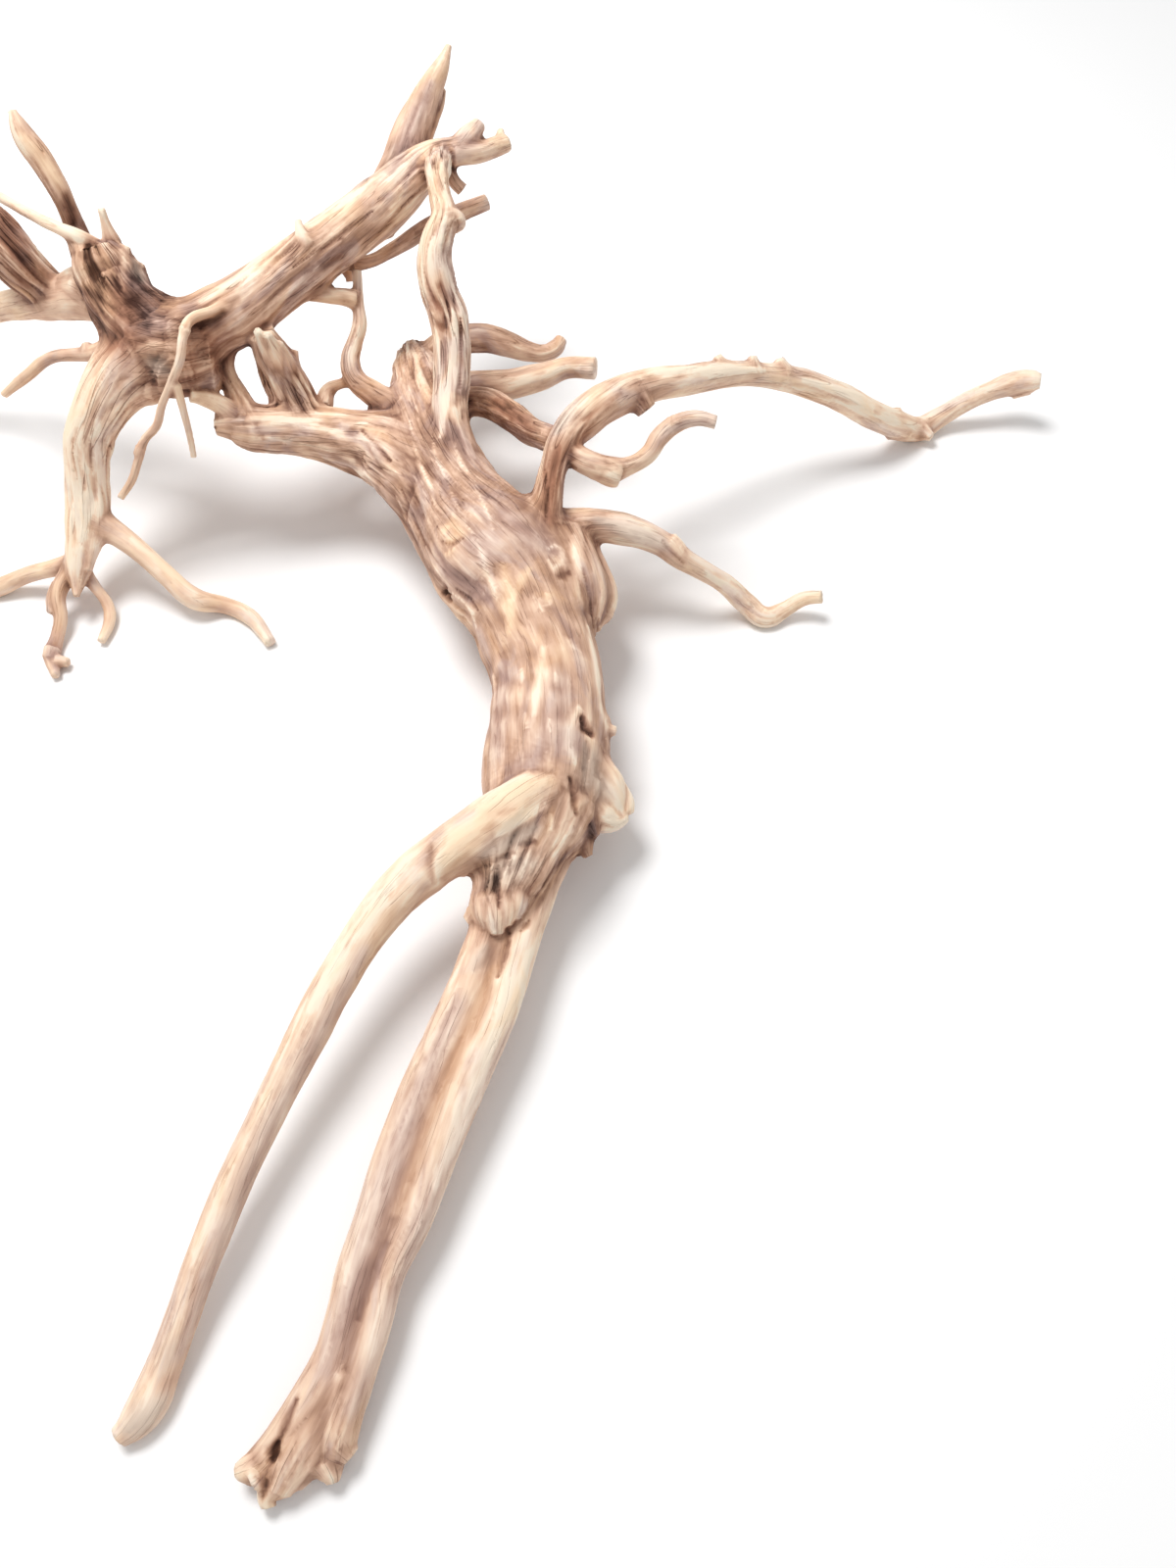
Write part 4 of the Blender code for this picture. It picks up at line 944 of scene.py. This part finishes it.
def inside_box(points, line, pad):
    """Which points lie in a line's box, with a margin."""
    inside = (points > line.min(axis=0) - pad) & (points < line.max(axis=0) + pad)
    return np.nonzero(inside.all(axis=1))[0]


class Nearby:
    """Which limbs lie near each point, and where along them."""

    def __init__(self, points, limbs):
        self.rows = []
        for limb in limbs:
            found = []
            for part in chunks(inside_box(points, limb.line, limb.radius.max() + REACH_MM)):
                if not len(part):
                    continue
                at = limb.nearest(points[part])
                close = np.linalg.norm(points[part] - limb.line[at], axis=1) - limb.radius[at] < REACH_MM
                found.append((part[close], at[close]))
            if sum(len(rows) for rows, _ in found):
                rows, at = (np.concatenate(arrays) for arrays in zip(*found))
                self.rows.append([limb, rows, at])

    def refresh(self, points):
        """Follows points that have moved a little."""
        for row in self.rows:
            limb, rows, at = row
            row[2] = limb.nearer(points[rows], at, NEXT_STEPS)


def gaps_of(points, near, reliefs):
    """For each limb, how far its near points lie outside it, and the way outwards."""
    found = []
    for (limb, rows, at), relief in zip(near.rows, reliefs):
        x, y, _, past = limb.local(points[rows], at)
        radius = limb.radius[at]
        across = np.maximum(np.hypot(x, y), LEAST_ACROSS_MM)
        edge = np.minimum(ROUNDING_MM, radius * ROUNDING_SHARE)
        side = across - radius + edge
        end = past + edge
        outside = np.hypot(np.maximum(side, 0.0), np.maximum(end, 0.0)) - edge
        gap = np.where((side < 0) & (end < 0), np.maximum(side, end) - edge, outside) - relief
        out = limb.side[at] * (x / across)[:, None] + limb.up[at] * (y / across)[:, None]
        tips = np.where(at == 0, -1.0, 1.0)[:, None] * limb.tangent[at]
        out = unit(out * np.maximum(side, LEAST_SIDE_MM)[:, None] + tips * np.maximum(end, 0.0)[:, None])
        found.append((limb, rows, gap, out, radius))
    return found


def falling(gap, most):
    """A weight that falls with the gap, which is kept within limits."""
    return np.exp(-np.clip(gap, -most, most))


def blend(count, found):
    """The gap to all limbs blended into one skin, the way outwards, and how deep in a crease it lies."""
    weight_sum = np.zeros(count)
    radius_sum = np.zeros(count)
    closest = np.full(count, FAR_MM)
    for _, rows, gap, _, radius in found:
        weight = falling(gap / RADIUS_BLEND_MM, RADIUS_LIMIT)
        weight_sum[rows] += weight
        radius_sum[rows] += weight * radius
        closest[rows] = np.minimum(closest[rows], gap)
    softness = np.clip(SOFTNESS_SHARE * radius_sum / np.maximum(weight_sum, LEAST_WEIGHT), *SOFTNESS_MM)
    total = np.zeros(count)
    way = np.zeros((count, 3))
    for _, rows, gap, out, _ in found:
        weight = falling(gap / softness[rows], SKIN_LIMIT)
        total[rows] += weight
        way[rows] += weight[:, None] * out
    total = np.maximum(total, LEAST_WEIGHT)
    deep = closest + softness * np.log(total)
    agreed = np.linalg.norm(way, axis=1) / total
    fill = np.clip(FILL_LEAST + FILL_PER_TURN * (1.0 - agreed), 0.0, 1.0)
    return closest - deep * fill, unit(way), deep / softness


def limb_relief(limb, points, at):
    """Flutes, strands and lumps, in mm, along one limb's own grain."""
    x, y, z = limb.grain(points, at)
    radius = limb.radius[at]
    size = limb.mean_radius
    shift = LIMB_SHIFT * limb.number

    def patterned(sizes, off=0.0):
        across, along, apart = sizes
        return noise((x + off) / across, (y - off) / across, z / along, shift + apart)

    wander = WANDER_MM * patterned(WANDER)
    wide = np.clip(size / STRANDS_PER_RADIUS, *STRAND_MM)
    broad = patterned((FLUTE_ACROSS * size, FLUTE_ALONG * size, 0.0))
    strand = np.abs(patterned((wide, STRAND_LENGTH * wide, STRAND_SHIFT), wander))
    strand = np.minimum(strand, STRAND_TOP) * 2.0 - STRAND_LEVEL
    fine = np.abs(patterned(FINE, wander)) * 2.0 - FINE_LEVEL
    patch = PATCH_LEAST + (1.0 - PATCH_LEAST) * smooth_step(-PATCH_EDGE, PATCH_EDGE, patterned(PATCH))
    flutes = (broad - FLUTE_LEVEL) + limb.style[LUMPS] * (patterned(LUMP) - FLUTE_LEVEL)
    strands = STRAND_SHARE * strand + FINE_SHARE * fine - RELIEF_LEVEL
    depth = np.clip(radius / FULL_DEPTH_RADIUS_MM, *DEPTHS)
    relief = FLUTE_DEPTH * radius * flutes + depth * limb.styled(at, STRINGS) * patch * strands
    across = np.hypot(*limb.local(points, at)[:2])
    return relief * smooth_step(*CALM_MIDDLE, across / radius)


def cast(tree, across, down):
    """Where the line of sight through a pixel first meets the skin, in mm."""
    return tree.ray_cast(EYE_MM, (place(across, down, 0.0) - EYE_MM).normalized())[0]


def mark_line(tree, course):
    """The mark's course on the skin, in fine steps."""
    found = []
    for start, end in zip(course[:-1], course[1:]):
        steps = max(2, int(math.dist(start, end) / MARK_STEP))
        for k in range(steps + 1):
            t = k / steps
            hit = cast(tree, *(a + (b - a) * t for a, b in zip(start, end)))
            if hit is not None:
                found.append(hit)
    return np.array(found).reshape(-1, 3)


def mark_fields(points, tree):
    """The shade, the lift and the leans that all marks together give each point."""
    shade = np.zeros(len(points))
    lift = np.zeros(len(points))
    leans = {name: np.zeros(len(points)) for name in LEAN_COLOURS}
    marks = [(kind, mark) for kind, drawn in MARKS.items() for mark in drawn]
    for kind, (width, strength, *course) in marks:
        shade_by, lift_by, lean = MARK_KINDS[kind]
        line = mark_line(tree, course)
        if not len(line):
            continue
        t = np.linspace(0.0, 1.0, len(line))
        tapered = width * (MARK_END + (1.0 - MARK_END) * np.sin(math.pi * t))
        for rows in chunks(inside_box(points, line, MARK_PAD * width)):
            gap = np.linalg.norm(points[rows][:, None, :] - line[None, :, :], axis=2)
            at = gap.argmin(axis=1)
            amount = np.exp(-((gap[np.arange(len(rows)), at] / tapered[at]) ** 2)) * strength
            shade[rows] += amount * shade_by
            lift[rows] += amount * lift_by
            if lean:
                leans[lean][rows] = np.maximum(leans[lean][rows], amount)
    return shade, lift, leans


def set_layer(mesh, name, domain, values):
    """Stores a value or a vector for each point or corner."""
    vectors = values.ndim == 2
    layer = mesh.attributes.new(name, "FLOAT_VECTOR" if vectors else "FLOAT", domain)
    layer.data.foreach_set("vector" if vectors else "value", values.astype(np.float32).ravel())


def smoothed(values, ends, rounds):
    """Values averaged with those of the joined-up points, over and over."""
    count = len(values)
    joined = np.bincount(ends.ravel(), minlength=count)
    for _ in range(rounds):
        near = np.stack([
            np.bincount(ends[:, 0], values[ends[:, 1], k], count)
            + np.bincount(ends[:, 1], values[ends[:, 0], k], count)
            for k in range(values.shape[1])
        ], axis=1)
        values = 0.5 * values + 0.5 * near / joined[:, None]
    return values


def hollowness(mesh, points):
    """How far each point lies below the skin around it, as one value from two scales."""
    ends = numbers_of(mesh.edges, "vertices", 2, np.int32).reshape(-1, 2)
    total = 0.0
    for rounds, full, share in (SMALL_HOLLOWS, LARGE_HOLLOWS):
        depth = ((smoothed(points, ends, rounds) - points) * normals_of(mesh)).sum(axis=1)
        total = total + np.clip(depth / full, *HOLLOW_LIMITS) * share
    return total


def limb_weights(count, limbs, found):
    """Each limb's share of each point's colour."""
    weights = np.zeros((count, len(limbs)), np.float32)
    for limb, rows, gap, _, radius in found:
        soft = np.clip(COLOUR_SOFTNESS_SHARE * radius, *COLOUR_SOFTNESS_MM)
        weights[rows, limb.number] = falling(gap / soft, COLOUR_LIMIT)
    return weights / np.maximum(weights.sum(axis=1, keepdims=True), TINY)


def style_field(near, weights, which):
    """One row of the limbs' styles at every point, blended where limbs meet."""
    total = np.zeros(len(weights))
    for limb, rows, at in near.rows:
        total[rows] += weights[rows, limb.number] * limb.styled(at, which)
    return total


def grain_corners(points, faces, limbs, weights):
    """For each face corner, grain coordinates of the face's two strongest limbs, and the second's share."""
    each = np.arange(len(faces))
    by_face = weights[faces[:, 0]] + weights[faces[:, 1]] + weights[faces[:, 2]]
    first = by_face.argmax(axis=1)
    by_face[each, first] = -1.0
    second = by_face.argmax(axis=1)
    second = np.where(by_face[each, second] > LEAST_SHARE, second, first)
    grains = []
    shares = []
    for pick in (first, second):
        grain = np.zeros((len(faces), 3, 3))
        for limb in limbs:
            chosen = np.nonzero(pick == limb.number)[0]
            if not len(chosen):
                continue
            rows, back = np.unique(faces[chosen], return_inverse=True)
            at = np.concatenate([limb.nearest(points[part]) for part in chunks(rows)])
            coords = np.stack(limb.grain(points[rows], at), axis=1)
            grain[chosen] = coords[back.reshape(-1)].reshape(-1, 3, 3)
        grains.append(grain.reshape(-1, 3))
        shares.append(weights[faces, pick[:, None]].reshape(-1))
    share = shares[1] / np.maximum(shares[0] + shares[1], TINY)
    return *grains, np.where(np.repeat(first == second, 3), 0.0, share)


class Nodes:
    """Short ways to add shader nodes to a tree."""

    def __init__(self, tree):
        self.tree = tree

    def feed(self, socket, value):
        if isinstance(value, bpy.types.NodeSocket):
            self.tree.links.new(value, socket)
        else:
            socket.default_value = value

    def add(self, kind, inputs=(), **settings):
        node = self.tree.nodes.new(kind)
        for name, value in settings.items():
            setattr(node, name, value)
        for name, value in dict(inputs).items():
            self.feed(node.inputs[name], value)
        return node

    def value(self, name):
        return self.add("ShaderNodeAttribute", attribute_name=name).outputs["Fac"]

    def vector(self, name):
        return self.add("ShaderNodeAttribute", attribute_name=name).outputs["Vector"]

    def math(self, operation, first, second=0.0):
        return self.add("ShaderNodeMath", {0: first, 1: second}, operation=operation).outputs[0]

    def plus(self, first, second):
        return self.math("ADD", first, second)

    def times(self, first, second):
        return self.math("MULTIPLY", first, second)

    def centred(self, value):
        return self.math("SUBTRACT", value, 0.5)

    def total(self, parts):
        """The sum of a few values, each times its share."""
        sockets = [self.times(value, share) for value, share in parts]
        total = sockets[0]
        for socket in sockets[1:]:
            total = self.plus(total, socket)
        return total

    def noise(self, vector, across, along, detail, roughness, distortion):
        inputs = {0: vector, 1: (1 / across, 1 / across, 1 / along)}
        scaled = self.add("ShaderNodeVectorMath", inputs, operation="MULTIPLY").outputs[0]
        inputs = {"Vector": scaled, "Scale": 1.0, "Detail": detail}
        inputs.update({"Roughness": roughness, "Distortion": distortion})
        return self.add("ShaderNodeTexNoise", inputs).outputs["Fac"]

    def spread(self, value, low, high, to_low=0.0, to_high=1.0, kind="SMOOTHSTEP"):
        inputs = {"Value": value, "From Min": low, "From Max": high, "To Min": to_low, "To Max": to_high}
        return self.add("ShaderNodeMapRange", inputs, interpolation_type=kind).outputs[0]

    def ramp(self, value, stops):
        node = self.add("ShaderNodeValToRGB", {"Fac": value})
        points = node.color_ramp.elements
        while len(points) < len(stops):
            points.new(0.5)
        for point, (position, colour) in zip(points, stops):
            point.position = position
            point.color = (*colour, 1.0)
        return node.outputs["Color"]

    def mix(self, share, first, second, kind="RGBA"):
        node = self.add("ShaderNodeMix", data_type=kind)
        sockets = [socket for socket in node.inputs if socket.enabled]
        for socket, value in zip(sockets, (share, first, second)):
            self.feed(socket, value)
        return next(socket for socket in node.outputs if socket.enabled)


def grain_group():
    """Streaks, fibres and fissures that run along the grain, from coordinates in mm."""
    group = bpy.data.node_groups.new("grain", "ShaderNodeTree")
    group.interface.new_socket("Grain", in_out="INPUT", socket_type="NodeSocketVector")
    for name in GRAIN_PATTERNS:
        group.interface.new_socket(name, in_out="OUTPUT", socket_type="NodeSocketFloat")
    nodes = Nodes(group)
    grain = nodes.add("NodeGroupInput").outputs[0]
    found = {name: nodes.noise(grain, *numbers) for name, numbers in GRAIN_PATTERNS.items()}
    away = nodes.math("ABSOLUTE", nodes.centred(found["Fissure"]))
    found["Fissure"] = nodes.spread(away, 0.0, FISSURE_WIDTH, 1.0, 0.0)
    nodes.add("NodeGroupOutput", found)
    return group


def wood_material():
    material = bpy.data.materials.new("bleached_wood")
    material.use_nodes = True
    nodes = Nodes(material.node_tree)
    group = grain_group()
    grains = [nodes.vector(name) for name in ("grain_a", "grain_b")]
    sides = [nodes.add("ShaderNodeGroup", {0: grain}, node_tree=group) for grain in grains]
    grain_share = nodes.value("grain_share")
    patterns = {}
    for name in GRAIN_PATTERNS:
        ends = (side.outputs[name] for side in sides)
        patterns[name] = nodes.mix(grain_share, *ends, kind="FLOAT")
    shade, hollow, contrast = (nodes.value(name) for name in ("shade", "hollow", "contrast"))
    cracks = nodes.times(patterns["Fissure"], nodes.spread(patterns["Patch"], *CRACKED))
    cracks = nodes.times(cracks, contrast)
    wear_and_painted_light = nodes.spread(nodes.plus(patterns["Streak"], nodes.times(shade, MARK_WEAR)), *WORN)
    parts = [(nodes.centred(patterns[name]), share) for name, share in PATTERN_SHADES.items()]
    value = nodes.times(nodes.total([*parts, (wear_and_painted_light, WORN_SHADE)]), contrast)
    value = nodes.plus(value, nodes.plus(nodes.value("tone"), TONE_SHIFT))
    # The marks with the painted light on the side facing up, the painted shade in hollows and creases, and
    # the fissures
    for field, share in ((shade, MARK_SHADE), (hollow, HOLLOW_PAINTED_SHADE), (cracks, CRACK_SHADE)):
        value = nodes.plus(value, nodes.times(field, share))
    colour = nodes.ramp(value, WOOD_COLOURS)
    leans = {name: nodes.ramp(value, stops) for name, stops in LEAN_COLOURS.items()}
    colour = nodes.mix(nodes.spread(patterns["Tint"], *PEACH_TINT), colour, leans["peach"])
    colour = nodes.mix(nodes.spread(patterns["Tint"], *MAUVE_TINT), colour, leans["mauve"])
    for name, leaning in leans.items():
        colour = nodes.mix(nodes.value(name), colour, leaning)
    height = nodes.total([(patterns["Fibre"], FIBRE_HEIGHT), (patterns["Streak"], STREAK_HEIGHT)])
    height = nodes.times(height, nodes.plus(EVEN_HEIGHT, nodes.times(contrast, 1.0 - EVEN_HEIGHT)))
    height = nodes.plus(height, nodes.times(cracks, CRACK_HEIGHT))
    bump = nodes.add("ShaderNodeBump", {"Strength": BUMP_STRENGTH, "Distance": BUMP_M, "Height": height})
    inputs = material.node_tree.nodes["Principled BSDF"].inputs
    nodes.feed(inputs["Base Color"], colour)
    nodes.feed(inputs["Roughness"], nodes.spread(value, *ROUGHNESS, kind="LINEAR"))
    nodes.feed(inputs["Specular IOR Level"], SHEEN)
    nodes.feed(inputs["Normal"], bump.outputs[0])
    return material


def settle(points, limbs, rounds, relief):
    """Moves points onto the blended limbs, with or without their relief."""
    near = Nearby(points, limbs)
    reliefs = [limb_relief(limb, points[rows], at) if relief else 0.0 for limb, rows, at in near.rows]
    for _ in range(rounds):
        gap, way, _ = blend(len(points), gaps_of(points, near, reliefs))
        points = points - np.clip(gap, -MOST_STEP_MM, MOST_STEP_MM)[:, None] * way
        near.refresh(points)
    return points


def kept_in(points, box):
    """Sets the feet on the surface and draws the outermost tips in to the solid's own box."""
    points[:, 2] = np.maximum(points[:, 2], box[0][2])
    tip = TIP_MM * MM
    for axis in range(3):
        for side, corner in ((-1.0, box[0]), (1.0, box[1])):
            reach = points[:, axis] * side
            start = corner[axis] * side - tip
            excess = max(reach.max() - start - tip, 0.0)
            drawn = start + (reach - start) * tip / (tip + excess)
            points[:, axis] = np.where(reach > start, drawn, reach) * side
    return points


def skin_mesh(limbs):
    points, quads = wrapped(join_tubes(), FIRST_VOXEL_MM)
    points = settle(points, limbs, FIRST_ROUNDS, relief=False)
    points, quads = wrapped(mesh_from("smooth", points, quads), VOXEL_MM)
    points = settle(points, limbs, ROUNDS, relief=True)
    skin = mesh_from("skin", points, quads)
    tree = BVHTree.FromPolygons(points.tolist(), quads.tolist())
    lift = mark_fields(points, tree)[1]
    points = points + normals_of(skin) * lift[:, None]
    points[:, 2] = np.maximum(points[:, 2], 0.0)
    share = TRIANGLES / (2 * len(quads))
    lifted = mesh_from("skin", points, quads)
    thin = made_mesh(lifted, "DECIMATE", ratio=share, use_collapse_triangulate=True)
    points = kept_in(points_of(thin), cad_box)
    thin.vertices.foreach_set("co", points.astype(np.float32).ravel())
    thin.update()
    return thin


def set_fields(mesh, limbs):
    """Stores on the skin what the wood material reads."""
    points = points_of(mesh) / MM
    faces = faces_of(mesh, 3)
    near = Nearby(points, limbs)
    found = gaps_of(points, near, [0.0] * len(near.rows))
    crease = blend(len(points), found)[2]
    weights = limb_weights(len(points), limbs, found)
    tree = BVHTree.FromPolygons(points.tolist(), faces.tolist())
    shade, _, leans = mark_fields(points, tree)
    # Painted light and shade: paler where the skin faces up and away, darker where it faces down
    facing_painted_light = normals_of(mesh) @ np.array(PAINTED_LIGHT_SIDE)
    fields = {
        "shade": shade + PAINTED_LIGHT_SHADE * (facing_painted_light - PAINTED_LIGHT_LEVEL),
        "tone": style_field(near, weights, TONE),
        "contrast": style_field(near, weights, CONTRAST),
        # Painted shade: hollows, and the creases where limbs meet, are darkened by this
        "hollow": hollowness(mesh, points) + crease * CREASE_HOLLOW,
        **leans,
    }
    for name, values in fields.items():
        set_layer(mesh, name, "POINT", values)
    names = ("grain_a", "grain_b", "grain_share")
    for name, values in zip(names, grain_corners(points, faces, limbs, weights)):
        set_layer(mesh, name, "CORNER", values)


def floor_piece():
    mesh = bpy.data.meshes.new("floor")
    half = FLOOR_HALF_M
    corners = [(-half, -half, 0), (half, -half, 0), (half, half, 0), (-half, half, 0)]
    mesh.from_pydata(corners, [], [(0, 1, 2, 3)])
    floor = put("floor", mesh)
    paint = bpy.data.materials.new("floor_paint")
    paint.use_nodes = True
    shader = paint.node_tree.nodes["Principled BSDF"]
    shader.inputs["Base Color"].default_value = FLOOR_COLOUR
    shader.inputs["Roughness"].default_value = FLOOR_ROUGHNESS
    mesh.materials.append(paint)


def key_lamp():
    light = bpy.data.lights.new("key", "AREA")
    light.shape = "DISK"
    light.size = LAMP_SIZE_M
    light.energy = LAMP_WATTS
    lamp = put("key", light)
    lamp.location = LAMP_PLACE_M
    way = Vector(LAMP_TARGET_M) - Vector(LAMP_PLACE_M)
    lamp.rotation_euler = way.to_track_quat("-Z", "Y").to_euler()


def camera():
    data = bpy.data.cameras.new("camera")
    data.sensor_fit = "VERTICAL"
    data.sensor_height = SENSOR_MM
    data.lens = SENSOR_MM * VIEW_FOCAL_LENGTH / (2 * VIEW_CENTRE_DOWN)
    data.clip_start = CLIP_START_M
    thing = put("camera", data)
    thing.location = EYE_MM * MM
    thing.rotation_euler = (math.pi / 2 - EYE_PITCH, 0, 0)
    bpy.context.scene.camera = thing


def world():
    sky = bpy.data.worlds.new("studio")
    sky.use_nodes = True
    back = sky.node_tree.nodes["Background"]
    back.inputs["Color"].default_value = (1, 1, 1, 1)
    back.inputs["Strength"].default_value = SKY_STRENGTH
    bpy.context.scene.world = sky


limbs = [Limb(number, name, knots) for number, (name, knots) in enumerate(LIMBS.items())]
mesh = skin_mesh(limbs)
set_fields(mesh, limbs)
root = put("root_wood", mesh)
mesh.shade_smooth()
mesh.materials.append(wood_material())
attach(root, "root")
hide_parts("mangrove_root")

floor_piece()
camera()
world()
key_lamp()
bpy.context.scene.view_settings.view_transform = "Standard"
